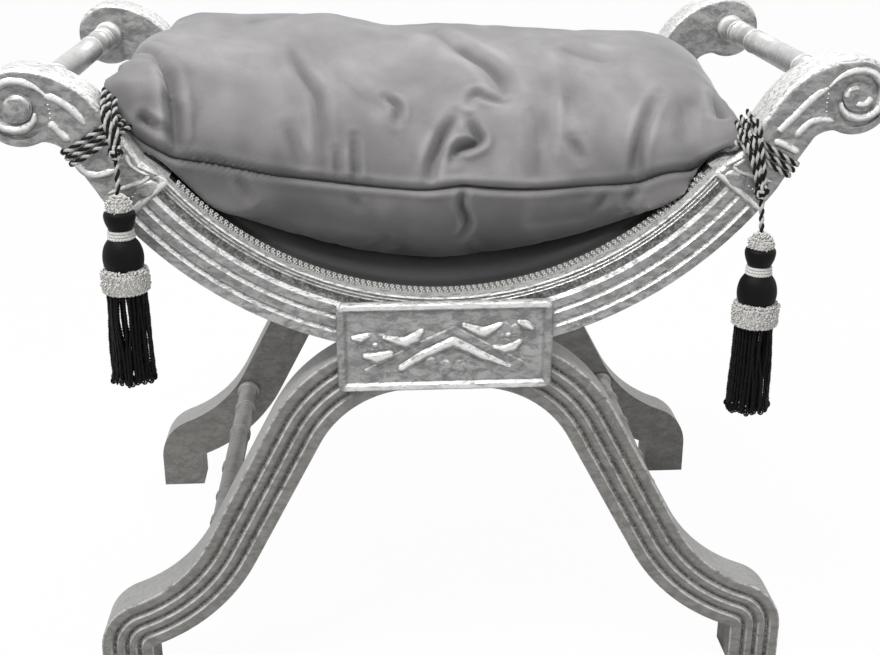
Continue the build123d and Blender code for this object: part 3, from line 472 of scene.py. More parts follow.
def finish(name):
    """The stool's finishes, each made once from the panel's colours."""
    if name in finishes:
        return finishes[name]
    c = bpy.context.scene.stool_colours
    light, dull, dark = tuple(c.leaf), tuple(c.dull_leaf), tuple(c.bole)
    velvet = tuple(c.velvet)
    made = {
        "silver_leaf": lambda: leaf_finish(
            name, light, dark, roughness=0.34, metallic=0.45, grain=0.0008, wear=0.1,
            groove=0.8, upper=1.0),
        "rail_leaf": lambda: leaf_finish(
            name, tuple(v * 1.5 for v in light), dark, roughness=0.34, metallic=0.35,
            grain=0.0002, wear=0.0, groove=0.0, upper=0.25),
        "aged_silver": lambda: leaf_finish(
            name, dull, dark, roughness=0.5, metallic=0.2, grain=0.0004, wear=0.25,
            groove=0.95, upper=0.3),
        "velvet": lambda: cloth_finish(name, velvet, tuple(v * 0.72 for v in velvet), 0.0005),
        # painted shade: the seat's velvet is made far darker than the cushion's, for the shadow the
        # cushion casts on it
        "shaded_seat_velvet": lambda: cloth_finish(name, tuple(v * 0.11 for v in velvet),
                                            tuple(v * 0.07 for v in velvet), 0.0005),
        "black_cloth": lambda: cloth_finish(name, (0.02, 0.02, 0.022), (0.01, 0.01, 0.011),
                                            0.0003, weave=0.0012, sheen=0.1),
        "webbing": lambda: cloth_finish(name, (0.26, 0.2, 0.12), (0.14, 0.1, 0.06),
                                        0.0006, weave=0.004, sheen=0.1),
        "foam": lambda: cloth_finish(name, (0.72, 0.66, 0.48), (0.6, 0.55, 0.4), 0.0008, sheen=0.0),
        "wood": lambda: wood_finish(name, (0.45, 0.3, 0.16), (0.28, 0.17, 0.09)),
        "steel": lambda: steel_finish(name, (0.5, 0.5, 0.52)),
        "cord": lambda: cord_finish(name, tuple(c.thread_light), tuple(c.thread_dark)),
        "gimp": lambda: cord_finish(name, tuple(v * 1.3 for v in c.thread_light),
                                    tuple(v * 0.36 for v in c.thread_light)),
        "pale_thread": lambda: silk_finish(name, tuple(v * 1.35 for v in c.thread_light), 0.7, 0.3),
        "seam_thread": lambda: silk_finish(name, tuple(v * 0.12 for v in velvet), 0.8, 0.1),
        "black_thread": lambda: silk_finish(name, (0.003, 0.003, 0.0035), 0.5, 0.12),
    }
    finishes[name] = made[name]()
    return finishes[name]


def dress(node, name):
    """Gives a solid that stays its finish."""
    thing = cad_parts[node]
    thing.data.materials.clear()
    thing.data.materials.append(finish(name))


# Repeats


def repeat_tree():
    """Geometry Nodes: copies of a piece along the lines of a curve."""
    if "Repeat along line" in bpy.data.node_groups:
        return bpy.data.node_groups["Repeat along line"]
    tree = bpy.data.node_groups.new("Repeat along line", "GeometryNodeTree")
    for name, kind in (("Geometry", "Geometry"), ("Line", "Object"), ("Piece", "Object"),
                       ("Count", "Int"), ("Facing", "Vector"), ("Unevenness", "Float"),
                       ("Spin", "Float"), ("Seed", "Int"), ("Material", "Material")):
        tree.interface.new_socket(name=name, in_out="INPUT", socket_type="NodeSocket" + kind)
    tree.interface.new_socket(name="Geometry", in_out="OUTPUT", socket_type="NodeSocketGeometry")
    new = tree.nodes.new
    given, out = new("NodeGroupInput"), new("NodeGroupOutput")
    line, piece = new("GeometryNodeObjectInfo"), new("GeometryNodeObjectInfo")
    normal = new("GeometryNodeSetCurveNormal")
    normal.mode = "FREE"
    points = new("GeometryNodeCurveToPoints")
    size, turn = new("FunctionNodeRandomValue"), new("FunctionNodeRandomValue")
    size.data_type, turn.data_type = "FLOAT", "FLOAT"
    low, high = new("ShaderNodeMath"), new("ShaderNodeMath")
    low.operation, high.operation = "SUBTRACT", "ADD"
    low.inputs[0].default_value = high.inputs[0].default_value = 1.0
    spin = new("ShaderNodeCombineXYZ")
    euler, rotate = new("FunctionNodeEulerToRotation"), new("FunctionNodeRotateRotation")
    rotate.rotation_space = "LOCAL"
    copies, real = new("GeometryNodeInstanceOnPoints"), new("GeometryNodeRealizeInstances")
    paint = new("GeometryNodeSetMaterial")
    wires = [
        (given.outputs["Line"], line.inputs["Object"]),
        (given.outputs["Piece"], piece.inputs["Object"]),
        (line.outputs["Geometry"], normal.inputs["Curve"]),
        (given.outputs["Facing"], normal.inputs["Normal"]),
        (normal.outputs["Curve"], points.inputs["Curve"]),
        (given.outputs["Count"], points.inputs["Count"]),
        (given.outputs["Unevenness"], low.inputs[1]),
        (given.outputs["Unevenness"], high.inputs[1]),
        (low.outputs[0], size.inputs[2]), (high.outputs[0], size.inputs[3]),
        (given.outputs["Seed"], size.inputs["Seed"]),
        (given.outputs["Spin"], turn.inputs[3]), (given.outputs["Seed"], turn.inputs["Seed"]),
        (turn.outputs[1], spin.inputs["X"]), (spin.outputs[0], euler.inputs[0]),
        (points.outputs["Rotation"], rotate.inputs[0]), (euler.outputs[0], rotate.inputs[1]),
        (points.outputs["Points"], copies.inputs["Points"]),
        (piece.outputs["Geometry"], copies.inputs["Instance"]),
        (rotate.outputs[0], copies.inputs["Rotation"]),
        (size.outputs[1], copies.inputs["Scale"]),
        (copies.outputs[0], real.inputs[0]), (real.outputs[0], paint.inputs[0]),
        (given.outputs["Material"], paint.inputs["Material"]),
        (paint.outputs[0], out.inputs[0]),
    ]
    for a, b in wires:
        tree.links.new(a, b)
    return tree


def repeated(name, lines, piece, count, facing, paint, uneven=0.0, spin=0.0, seed=1, loop=False):
    """A mesh of copies of a piece, evenly along lines: its X faces out, its Z runs along."""
    curve = bpy.data.curves.new(name + "_line", "CURVE")
    curve.dimensions = "3D"
    for line in lines:
        spline = curve.splines.new("POLY")
        spline.points.add(len(line) - 1)
        for point, at in zip(spline.points, in_metres(line)):
            point.co = (*at, 1.0)
        spline.use_cyclic_u = loop
    carrier = bpy.data.objects.new(name + "_line", curve)
    holder = bpy.data.objects.new(name + "_holder", bpy.data.meshes.new(name + "_holder"))
    for thing in (carrier, holder):
        bpy.context.scene.collection.objects.link(thing)
    tree = repeat_tree()
    modifier = holder.modifiers.new("Repeat", "NODES")
    given = {"Line": carrier, "Piece": piece, "Count": count, "Facing": facing,
             "Unevenness": uneven, "Spin": spin, "Seed": seed, "Material": paint}
    ids = {item.name: item.identifier for item in tree.interface.items_tree
           if item.in_out == "INPUT"}
    modifier.node_group = tree
    for key, value in given.items():
        modifier[ids[key]] = value
    holder.update_tag()
    graph = bpy.context.evaluated_depsgraph_get()
    mesh = bpy.data.meshes.new_from_object(holder.evaluated_get(graph))
    mesh.name = name
    made = bpy.data.objects.new(name, mesh)
    bpy.context.scene.collection.objects.link(made)
    for thing in (carrier, holder, piece):
        bpy.data.objects.remove(thing)
    if not mesh.polygons:
        raise RuntimeError("nothing was repeated for " + name)
    mesh.shade_smooth()
    return made


# Cords


def spline_line(points):
    """The points of a smooth cord: a NURBS line through its route, read as a mesh."""
    curve = bpy.data.curves.new("route", "CURVE")
    curve.dimensions = "3D"
    curve.resolution_u = 8
    spline = curve.splines.new("NURBS")
    spline.points.add(len(points) - 1)
    for point, at in zip(spline.points, points):
        point.co = (*at, 1.0)
    spline.order_u = 3
    spline.use_endpoint_u = True
    thing = bpy.data.objects.new("route", curve)
    bpy.context.scene.collection.objects.link(thing)
    graph = bpy.context.evaluated_depsgraph_get()
    mesh = bpy.data.meshes.new_from_object(thing.evaluated_get(graph))
    line = np.array([v.co[:] for v in mesh.vertices]) * 1000
    bpy.data.objects.remove(thing)
    bpy.data.meshes.remove(mesh)
    return line


def even(line, spacing, closed=False):
    """The same line with points at an even spacing."""
    line = np.asarray(line, float)
    if closed:
        line = np.vstack([line, line[:1]])
    way = np.concatenate([[0], np.cumsum(np.linalg.norm(np.diff(line, axis=0), axis=1))])
    count = max(int(round(way[-1] / spacing)), 3)
    at = np.linspace(0, way[-1], count + 1)
    if closed:
        at = at[:-1]
    return np.stack([np.interp(at, way, line[:, k]) for k in range(3)], axis=1), way[-1]


def twist(line, radius, lay, closed=False, plies=2, step=1.1, sides=6):
    """A rope along a line: plies wound round it, and which ply each point is on."""
    line, length = even(line, step, closed)
    _, a, b = frames_along(line, closed)
    turns = length / lay
    if closed:
        turns = max(round(turns), 1)
    n = len(line)
    phase = 2 * math.pi * turns * np.arange(n) / (n if closed else n - 1)
    if closed:
        drift = math.atan2(a[-1] @ b[0], a[-1] @ a[0])
        phase = phase - drift * np.arange(n) / n
    parts, marks = [], []
    for k in range(plies):
        p = phase + 2 * math.pi * k / plies
        core = line + (a * np.cos(p)[:, None] + b * np.sin(p)[:, None]) * radius * 0.46
        v, f = tube(core, radius * 0.57, sides, closed)
        parts.append((v, f))
        marks.append(np.full(len(v), float(k % 2)))
    verts, faces = join(parts)
    return verts, faces, np.concatenate(marks)


def write_marks(mesh, name, values):
    """Writes one number to each point of a mesh, for its finish to read."""
    layer = mesh.attributes.new(name, "FLOAT", "POINT")
    layer.data.foreach_set("value", np.asarray(values, dtype=np.float32))


def painted_light(thing, values):
    """Marks painted shade on the leaf (below 0) and painted highlight (up to 1)."""
    write_marks(thing.data, "painted_light", values)
    return thing


def join_marked(parts):
    verts, faces = join([(v, f) for v, f, _ in parts])
    return verts, faces, np.concatenate([m for _, _, m in parts])


def marked_object(name, verts, faces, marks):
    """A mesh whose ply attribute tells its light thread from its dark."""
    thing = new_object(name, verts, faces)
    write_marks(thing.data, "ply", marks)
    return thing


# Settings


class StoolColours(bpy.types.PropertyGroup):
    """Colours of the stool's finishes."""

    leaf: bpy.props.FloatVectorProperty(
        name="Silver leaf", description="Colour of the bright leaf on arms and blocks",
        subtype="COLOR", size=3, min=0, max=1, default=(0.345, 0.345, 0.342))
    dull_leaf: bpy.props.FloatVectorProperty(
        name="Aged leaf", description="Colour of the dull leaf on the legs",
        subtype="COLOR", size=3, min=0, max=1, default=(0.235, 0.228, 0.215))
    bole: bpy.props.FloatVectorProperty(
        name="Ground", description="Dark ground that shows in grooves and worn specks",
        subtype="COLOR", size=3, min=0, max=1, default=(0.055, 0.048, 0.042))
    velvet: bpy.props.FloatVectorProperty(
        name="Velvet", description="Colour of the cushion and the seat",
        subtype="COLOR", size=3, min=0, max=1, default=(0.34, 0.33, 0.335))
    thread_light: bpy.props.FloatVectorProperty(
        name="Light thread", description="Light thread of cords, tassels and braid",
        subtype="COLOR", size=3, min=0, max=1, default=(0.56, 0.55, 0.53))
    thread_dark: bpy.props.FloatVectorProperty(
        name="Dark thread", description="Dark thread of cords, tassels and braid",
        subtype="COLOR", size=3, min=0, max=1, default=(0.008, 0.008, 0.009))


class CarvingSizes(bpy.types.PropertyGroup):
    """Sizes of the carving, in metres."""

    ridge: bpy.props.FloatProperty(
        name="Ridge", description="Half width of the carved ridge on the scroll",
        unit="LENGTH", default=0.0043, min=0.001, max=0.006)
    bead: bpy.props.FloatProperty(
        name="Bead", description="Radius of the beads beside the cuff",
        unit="LENGTH", default=0.0019, min=0.0005, max=0.004)
    relief: bpy.props.FloatProperty(
        name="Block relief", description="Height of the carving on the blocks",
        unit="LENGTH", default=0.003, min=0.001, max=0.005)


class CushionSizes(bpy.types.PropertyGroup):
    """How full and how creased the cushion is."""

    pressure: bpy.props.FloatProperty(
        name="Filling", description="Pressure of the filling in the cloth simulation",
        default=4.0, min=0.5, max=10.0)
    swell: bpy.props.FloatProperty(
        name="Swell", description="Furthest that a point may move as the cushion fills",
        unit="LENGTH", default=0.007, min=0.0, max=0.03)
    crease: bpy.props.FloatProperty(
        name="Crease", description="Depth of the folds, as a share of the photographed ones",
        subtype="FACTOR", default=1.0, min=0.0, max=1.5)


class TieSizes(bpy.types.PropertyGroup):
    """Sizes of the tie cords and tassels."""

    cord: bpy.props.FloatProperty(
        name="Cord", description="Diameter of the twisted cord",
        unit="LENGTH", default=0.0048, min=0.003, max=0.006)
    lay: bpy.props.FloatProperty(
        name="Lay", description="Length of one turn of the cord's plies",
        unit="LENGTH", default=0.0125, min=0.005, max=0.03)
    strands: bpy.props.IntProperty(
        name="Skirt strands", description="Strands in the outer ring of a tassel's skirt",
        default=34, min=12, max=40)


# Arms and legs


# Carved strokes of an arm's outer face: x and z of the right front arm, then the half width
SCROLL_SWEEP = [(163, 27.5), (145, 24.6), (124, 22.6), (96, 21.8), (76, 22.0), (54, 21.8),
                (-33, 21.5), (-84, 19.0), (-134, 17.2), (-162, 15.5)]
NECK_RIBS = {
    "left": [
        ([(296, 549.5), (304.5, 560.4), (311.4, 566.1), (320, 571.4), (327, 574)], 4.5),
        ([(310, 536), (316.7, 542.4), (320.8, 547.3), (326, 552)], 4.1),
        ([(307.7, 521.3), (303.7, 514.4), (298.5, 509.4), (291.1, 507.3), (283.4, 508.7),
          (275.6, 511.5)], 3.8),
        ([(265.5, 525), (262.5, 516.5), (255.5, 510.5), (247.5, 506.5)], 2.2),
    ],
    "right": [
        ([(284, 533), (287.4, 537.5), (296.9, 546.9), (310, 561.2), (324.4, 572.2)], 4.5),
        ([(300, 529), (303.5, 535), (311.9, 542.5), (322.2, 544.5), (331.7, 543.3)], 4.1),
        ([(281, 527), (289, 524.5), (297.5, 520), (304, 516.5)], 4.0),
        ([(258, 512.5), (252.5, 508.5), (247.5, 506.5)], 2.2),
    ],
}
CUFF_RIBS = [
    ([(247.5, 506.5), (253, 501.5), (263, 498), (283, 491.5)], 2.4),
    ([(240, 506.5), (249, 511), (257, 515)], 1.7),
]
EYES = {
    "left": [],
    "right": [([(339.6, 563), (341.8, 570), (350.5, 572.2)], 3.0),
              ([(348.8, 557.6), (357.2, 558.2), (361.4, 564)], 3.0)],
}


def scroll_spiral():
    """The scroll's ridge: in from the neck, over the top, round and under, to its tip."""
    angles, radii = zip(*SCROLL_SWEEP[::-1])
    points = []
    for angle in np.linspace(163, -162, 26):
        radius = float(np.interp(angle, angles, radii))
        points.append((SCROLL[0] + 1 + radius * math.cos(math.radians(angle)),
                       SCROLL[1] + 0.5 + radius * math.sin(math.radians(angle))))
    return points


def carve_arm(side_name, face, ridge):
    """Raised carving on one arm's outer face, with a painted highlight marked on its strokes."""
    side = SIDES[side_name]
    parts = []

    def stroke(points, width, top=2.0, flat=0.8, tips=0.3):
        line = through([(x, 0.0, z) for x, z in points], 8)
        share = np.linspace(0, 1, len(line))
        size = width * np.minimum(np.minimum(tips + share * 5, tips + (1 - share) * 5), 1.0)
        out = OUTER_Y + top * size / width - size * flat
        line = np.stack([side * line[:, 0], face * out, line[:, 2]], axis=1)
        verts, faces = tube(line, size, 10, flat=flat)
        # every stroke is marked for a painted highlight
        parts.append((verts, faces, np.ones(len(verts))))

    def dome(x, z, wide, high, rise, turn=0.0):
        profile = [(math.cos(t), math.sin(t)) for t in np.linspace(-0.25, math.pi / 2, 9)]
        verts, faces = lathe(profile, (0, 0, 0), (0, 1, 0), 28)
        c, s = math.cos(turn), math.sin(turn)
        a, b = verts[:, 0] * wide, verts[:, 2] * high
        verts = np.stack([side * (x + a * c - b * s), face * (OUTER_Y - 0.3 + verts[:, 1] * rise),
                          z + a * s + b * c], axis=1)
        parts.append((verts, faces, np.zeros(len(verts))))

    stroke(scroll_spiral(), ridge, flat=1.25)
    for points, width in NECK_RIBS[side_name] + CUFF_RIBS:
        stroke(points, width)
    for points, width in EYES[side_name]:
        stroke(points, width, top=2.8)
    if not EYES[side_name]:
        dome(*SCROLL, 11.4, 11.4, 3.4)
    dome(250.5, 494, 10.5, 8.0, 3.0, math.radians(-35))
    stroke([arc_xz(ARC_TOP + 1.5 + (ARC_LOW - ARC_TOP - 3) * k / 8, CUFF) for k in range(9)],
           3.4, tips=1.0)
    verts, faces, marks = join_marked(parts)
    return verts + rock(verts / 1000, 160.0, 0.3, seed=side * 3 + face), faces, marks


def ball(radius, rings=5, steps=8):
    """A small ball for beads."""
    profile = [(radius * math.sin(t), -radius * math.cos(t))
               for t in np.linspace(0.15, math.pi - 0.15, rings)]
    return lathe(profile, (0, 0, 0), (0, 0, 1), steps)


class STOOL_OT_frames(bpy.types.Operator):
    """Finish the carved arms and legs, and add the raised carving of the scrolls"""

    bl_idname = "stool.frames"
    bl_label = "Frames"

    def execute(self, context):
        sizes = context.scene.stool_carving
        for face_name, face in FRAMES.items():
            for side_name, side in SIDES.items():
                dress(f"{face_name}_{side_name}_arm", "silver_leaf")
                dress(f"{face_name}_{side_name}_leg", "aged_silver")
                verts, faces, marks = carve_arm(side_name, face, sizes.ridge * 1000)
                carving = painted_light(new_object(f"{face_name}_{side_name}_scroll_carving", verts, faces),
                              marks)
                place_piece(outward(carving), finish("silver_leaf"))
                cuff = [arc_xz(ARC_TOP + 6 + 42 * k / 12, CUFF + 1.5) for k in range(13)]
                scroll = [(324.6, 566.5), (323.8, 557), (324.8, 548)]
                for what, row, size, count in (("cuff", cuff, 0.8, 11), ("scroll", scroll, 0.65, 6)):
                    line = [(side * x, face * (OUTER_Y - 1.0 * size), z) for x, z in row]
                    bead = new_object("bead", *ball(sizes.bead * 1000 * size))
                    beads = repeated(f"{face_name}_{side_name}_{what}_beads", [line], bead, count,
                                     (0, face, 0), finish("silver_leaf"), uneven=0.1, seed=4)
                    place_piece(beads, finish("silver_leaf"))
        return {"FINISHED"}


# Blocks


# Carved strokes of a block: u across and v up from its middle, then the half width there
CHEVRON = [(-39, -20, 2.4), (-20, -8, 3.0), (7, 4.5, 3.4), (32, -9, 3.0), (58, -20.5, 1.0)]
OUTER_CHEVRON = [(-70, -22, 2.4), (-30, -2, 3.2), (8, 15.5, 3.6), (40, -2.5, 3.2), (68, -17, 2.2)]
PETALS = [
    [(-54, 10, 1.2), (-44, 6.5, 2.8), (-35, 4.6, 3.7), (-27, 8.4, 3.7), (-21, 15, 1.8)],
    [(17, 19.5, 1.6), (25, 15.5, 2.8), (34, 12.2, 3.9), (42, 15.6, 2.8), (49, 20, 1.4)],
    [(-81, 9.5, 1.6), (-75, 9.4, 3.2), (-68, 12, 1.6)],
    [(-71, -7.5, 2.0), (-61, -9.6, 4.2), (-50, -6.5, 3.2)],
    [(66, 21.5, 1.6), (71, 19.2, 3.0), (77, 16, 1.8)],
    [(44, -1.5, 1.6), (53, -3.8, 3.2), (61, -1.5, 3.2), (66, 3, 2.0)],
]
FLOWERS = [(-62, 2.5), (56, 9.5)]
DROPS = [(-13, -16.5), (0, -19.5), (13, -19.5)]


def stroke_reach(u, v, points):
    """Distance of every point from a stroke, as a share of its half width there."""
    best = np.full(u.shape, 1e9)
    for (x0, y0, w0), (x1, y1, w1) in zip(points, points[1:]):
        dx, dy = x1 - x0, y1 - y0
        t = np.clip(((u - x0) * dx + (v - y0) * dy) / (dx * dx + dy * dy), 0, 1)
        far = np.hypot(u - x0 - t * dx, v - y0 - t * dy) / (w0 + t * (w1 - w0))
        best = np.minimum(best, far)
    return best


def relief(u, v):
    """The block's carving: its height, 0 to about 1, and its painted shade (below 0) and highlight
    (above 0), -1 to 1.
    """
    edge = np.minimum(BLOCK[0] - np.abs(u), BLOCK[1] - np.abs(v))
    h = 0.9 * (1 - smooth_step(5.6, 9.0, edge))
    # painted highlights along the border's upper and lower bands
    wave = np.sin(u / 7.5) + 0.5 * np.sin(u / 3.1 + 1.0)
    top = smooth_step(35.4, 36.8, v) * smooth_step(95.0, 90.0, np.abs(u))
    low = smooth_step(-35.2, -36.4, v - 0.9 * wave) * smooth_step(93.0, 86.0, np.abs(u))
    shine = np.maximum(top, low * (0.85 + 0.1 * wave))
    # painted shade in the recess just inside the border
    shine = np.where(shine > 0.02, shine, -0.45 * np.exp(-((edge - 8.6) / 1.5) ** 2))

    # raises a mark and paints its light: a highlight above 0, shade below 0
    def mark(far, height, light_level, halo=0.35):
        nonlocal h, shine
        h = np.maximum(h, height * np.sqrt(np.clip(1 - far ** 2, 0, 1)))
        # painted shade: a dark ring round each raised mark
        rim = np.exp(-((far - 1.35) / 0.25) ** 2) * halo
        shine = np.where(far < 1.05, np.maximum(shine, light_level * smooth_step(1.05, 0.8, far)),
                         np.minimum(shine, np.where(shine > 0.2, shine, -rim)))

    for cu, cv in FLOWERS:
        for k in range(5):
            a = 2 * math.pi * k / 5 + cu
            mark(np.hypot(u - cu - 9 * math.cos(a), v - cv - 8 * math.sin(a)) / 5.2, 0.28, -0.1)
        mark(np.hypot(u - cu, v - cv) / 2.6, 0.5, 0.3)
    for cu, cv in DROPS:
        mark(np.hypot((u - cu) / 5.0, (v - cv) / 6.5), 0.45, -0.2)
    # painted shadow: a dark line under the outer chevron, with no height
    mark(stroke_reach(u, v + 6.0, [(x, y, 1.1) for x, y, _ in OUTER_CHEVRON]), 0.0, -0.9)
    mark(stroke_reach(u, v, OUTER_CHEVRON), 0.3, 0.1)
    for points in PETALS:
        mark(stroke_reach(u, v, points) / 1.25, 1.0, 1.0, 0.6)
    mark(stroke_reach(u, v, CHEVRON) / 1.25, 1.0, 1.0, 0.6)
    return h, shine


def block_mesh(face, depth):
    """A closed block whose outer side has the carving, and the painted shade and highlight of each
    point.
    """
    nu, nv, corner = 257, 113, 7.0
    wide, high = BLOCK
    u, v = np.meshgrid(np.linspace(-wide, wide, nu), np.linspace(-high, high, nv))
    cu, cv = np.clip(np.abs(u), None, wide - corner), np.clip(np.abs(v), None, high - corner)
    du, dv = np.abs(u) - cu, np.abs(v) - cv
    reach, longest = np.hypot(du, dv), np.maximum(du, dv)
    pull = np.where(reach > 1e-6, longest / np.maximum(reach, 1e-6), 1.0)
    x = np.sign(u) * (cu + du * pull)
    z = np.sign(v) * (cv + dv * pull)
    h, shine = relief(x, z)
    edge = np.minimum(wide - np.abs(u), high - np.abs(v))
    rise = 5.0 - 1.6 * (1 - smooth_step(0.0, 2.2, edge))
    rough = np.array([noise.noise(Vector((a * 0.16, b * 0.2, 0.3 * face))) * 0.4
                      + noise.noise(Vector((a * 0.5, b * 0.5, 3.0 * face))) * 0.18
                      for a, b in zip(x.ravel(), z.ravel())]).reshape(x.shape)
    y = rise + np.clip(h * depth * smooth_step(0.0, 1.5, edge) + rough, -1.0, 3.0)
    front = np.stack([-face * x, face * (OUTER_Y + y), z + BLOCK_Z], axis=-1).reshape(-1, 3)
    ring = ([(0, j) for j in range(nu)] + [(i, nu - 1) for i in range(1, nv)]
            + [(nv - 1, j) for j in range(nu - 2, -1, -1)] + [(i, 0) for i in range(nv - 2, 0, -1)])
    back = np.array([front[i * nu + j] * (1, 0, 1) + (0, face * (OUTER_Y + 0.02), 0)
                     for i, j in ring])
    faces = grid_faces(nv, nu)
    base = len(front)
    m = len(ring)
    for k in range(m):
        n = (k + 1) % m
        i0, j0 = ring[k]
        i1, j1 = ring[n]
        faces.append((i0 * nu + j0, base + k, base + n, i1 * nu + j1))
    faces.append(tuple(base + k for k in range(m)))
    return np.vstack([front, back]), faces, np.concatenate([shine.ravel(), np.zeros(m)])


class STOOL_OT_blocks(bpy.types.Operator):
    """Carve the two centre blocks: border, chevrons, leaves, flowers and drops"""

    bl_idname = "stool.blocks"
    bl_label = "Centre blocks"

    def execute(self, context):
        depth = context.scene.stool_carving.relief * 1000
        for face_name, face in FRAMES.items():
            verts, faces, marks = block_mesh(face, depth)
            block = painted_light(new_object(f"{face_name}_carved_block", verts, faces), marks)
            place_piece(outward(block), finish("silver_leaf"),
                        replaces=[f"{face_name}_centre_block"])
        return {"FINISHED"}


# Rails


def turned_profile(body, bead, wide, collar, tenon, tenon_length, rings):
    """Outline of a turned rail: rounded rings and collars on a plain bar.

    Takes the radii of the bar, its rings, end collars and tenons, and the width of a ring."""
    half = INNER_Y
    out = [(tenon, -half - tenon_length), (tenon, -half + 0.4)]

    def hump(y, width, height, base):
        return [(base + (height - base) * math.sin(t) ** 0.8, y - width / 2 * math.cos(t))
                for t in np.linspace(0.12, math.pi - 0.12, 9)]

    out += hump(-half + 4.9, 9.0, collar, body)
    for share, scale in rings:
        out += hump(share * half, wide * scale, bead, body)
    out += hump(half - 4.9, 9.0, collar, body)
    out += [(tenon, half - 0.4), (tenon, half + tenon_length)]
    return out


# Rings by their share of the way out from the middle, and how wide each is
HAND_RINGS = [(-0.80, 1.3), (-0.74, 0.8), (-0.71, 0.8), (-0.44, 0.8), (0.44, 0.8), (0.71, 0.8),
              (0.74, 0.8), (0.80, 1.3)]
STRETCHER_RINGS = [(-0.80, 1), (-0.765, 1), (-0.50, 1.1), (-0.16, 1), (-0.125, 1), (0.30, 1),
                   (0.335, 1), (0.66, 1), (0.695, 1)]


class STOOL_OT_rails(bpy.types.Operator):
    """Turn the hand rails and stretchers, and finish the plain rail"""

    bl_idname = "stool.rails"
    bl_label = "Rails"

    def execute(self, context):
        for side_name, side in SIDES.items():
            hand_rail = turned_profile(body=12.0, bead=12.9, wide=2.6, collar=15.0, tenon=7.0,
                                       tenon_length=25.5, rings=HAND_RINGS)
            # painted highlight on the hand rail's rings
            self.rail(f"{side_name}_turned_hand_rail", side, SCROLL, hand_rail, 40,
                      lambda wide: smooth_step(12.1, 12.6, wide),
                      "rail_leaf", "silver_leaf", f"{side_name}_hand_rail")
            stretcher = turned_profile(body=10.0, bead=12.0, wide=4.6, collar=13.4, tenon=6.0,
                                       tenon_length=23.5, rings=STRETCHER_RINGS)
            # painted highlight on the stretcher's rings; its body is made darker
            self.rail(f"{side_name}_turned_stretcher", side, STRETCHER, stretcher, 36,
                      lambda wide: smooth_step(11.2, 11.9, wide) * 0.7 - 0.35,
                      "aged_silver", "aged_silver", f"{side_name}_leg_stretcher")
        dress("centre_rail", "aged_silver")
        for node in ("centre_rail_dowels", "end_rail_dowels", "front_frame_dowels",
                     "back_frame_dowels", "front_seat_bearer", "back_seat_bearer",
                     "left_seat_end_rail", "right_seat_end_rail"):
            dress(node, "wood")
        dress("bearer_screws", "steel")
        return {"FINISHED"}

    def rail(self, name, side, place, profile, steps, shine, paint, slot, node):
        """One turned rail from frame to frame; shine gives its painted highlight and shade from its
        radius.
        """
        x, z = side * place[0], place[1]
        verts, faces = lathe(profile, (x, 0, z), (0, 1, 0), steps)
        wide = np.hypot(verts[:, 0] - x, verts[:, 2] - z)
        thing = outward(painted_light(new_object(name, verts, faces), shine(wide)))
        place_piece(thing, finish(paint), replaces=[node])


# Seat


def arc_point(radius, degrees, y):
    x, z = arc_xz(radius, degrees)
    return (x, y, z)


def sweep_section(section, start, end, steps):
    """A closed section (y, radius) carried round the arms' sweep."""
    rows = [[arc_point(r, a, y) for y, r in section] for a in np.linspace(start, end, steps)]
    n = len(section)
    faces = ring_faces(steps, n)
    faces.append(tuple(range(n)))
    faces.append(tuple((steps - 1) * n + j for j in range(n))[::-1])
    return np.array(rows).reshape(-1, 3), faces


def seat_crown(y):
    """Radius of the seat's top skin at y."""
    return 297.0 + 6.6 * (abs(y) / SEAT_Y) ** 2.4


def seat_cover_mesh():
    """The cover: skin with its edges on the arms, its ends, and their side walls."""
    ys = np.linspace(-SEAT_Y, SEAT_Y, 61)
    top = [(y, seat_crown(y)) for y in ys]
    low = [(y, seat_crown(y) + 1.4) for y in ys[::-1]]
    edge = [(186.0, 304.3), (188.5, 306.0), (191.0, 307.2), (211.0, 307.4), (211.0, 308.9),
            (184.2, 308.9)]
    full = SEAT_END_TURN
    whole = top + edge + low + [(-y, r) for y, r in edge[::-1]]
    parts = [sweep_section(whole, -SEAT_TURN, SEAT_TURN, 97)]
    for side in (-1, 1):
        parts.append(sweep_section(top + low, side * 48.4, side * full, 9))
        flap = [(y, seat_crown(y) + 0.2) for y in ys] + [(y, 344.8) for y in ys[::-1]]
        parts.append(sweep_section(flap, side * (full - 0.23), side * full, 2))
        for face in (-1, 1):
            wall = [(face * y, r) for y, r in ((183.0, 302.6), (183.9, 303.0), (183.9, 345.0),
                                               (183.0, 345.0))]
            parts.append(sweep_section(wall, side * 48.3, side * full, 11))
    return join(parts)


BRAID_Y = (199.0, 212.2)  # inner and outer edge of the braid's tape, and its rows of links
BRAID_ROWS = (203.1, 208.1)
BRAID_LINKS = 98
BRAID_STEPS = 97


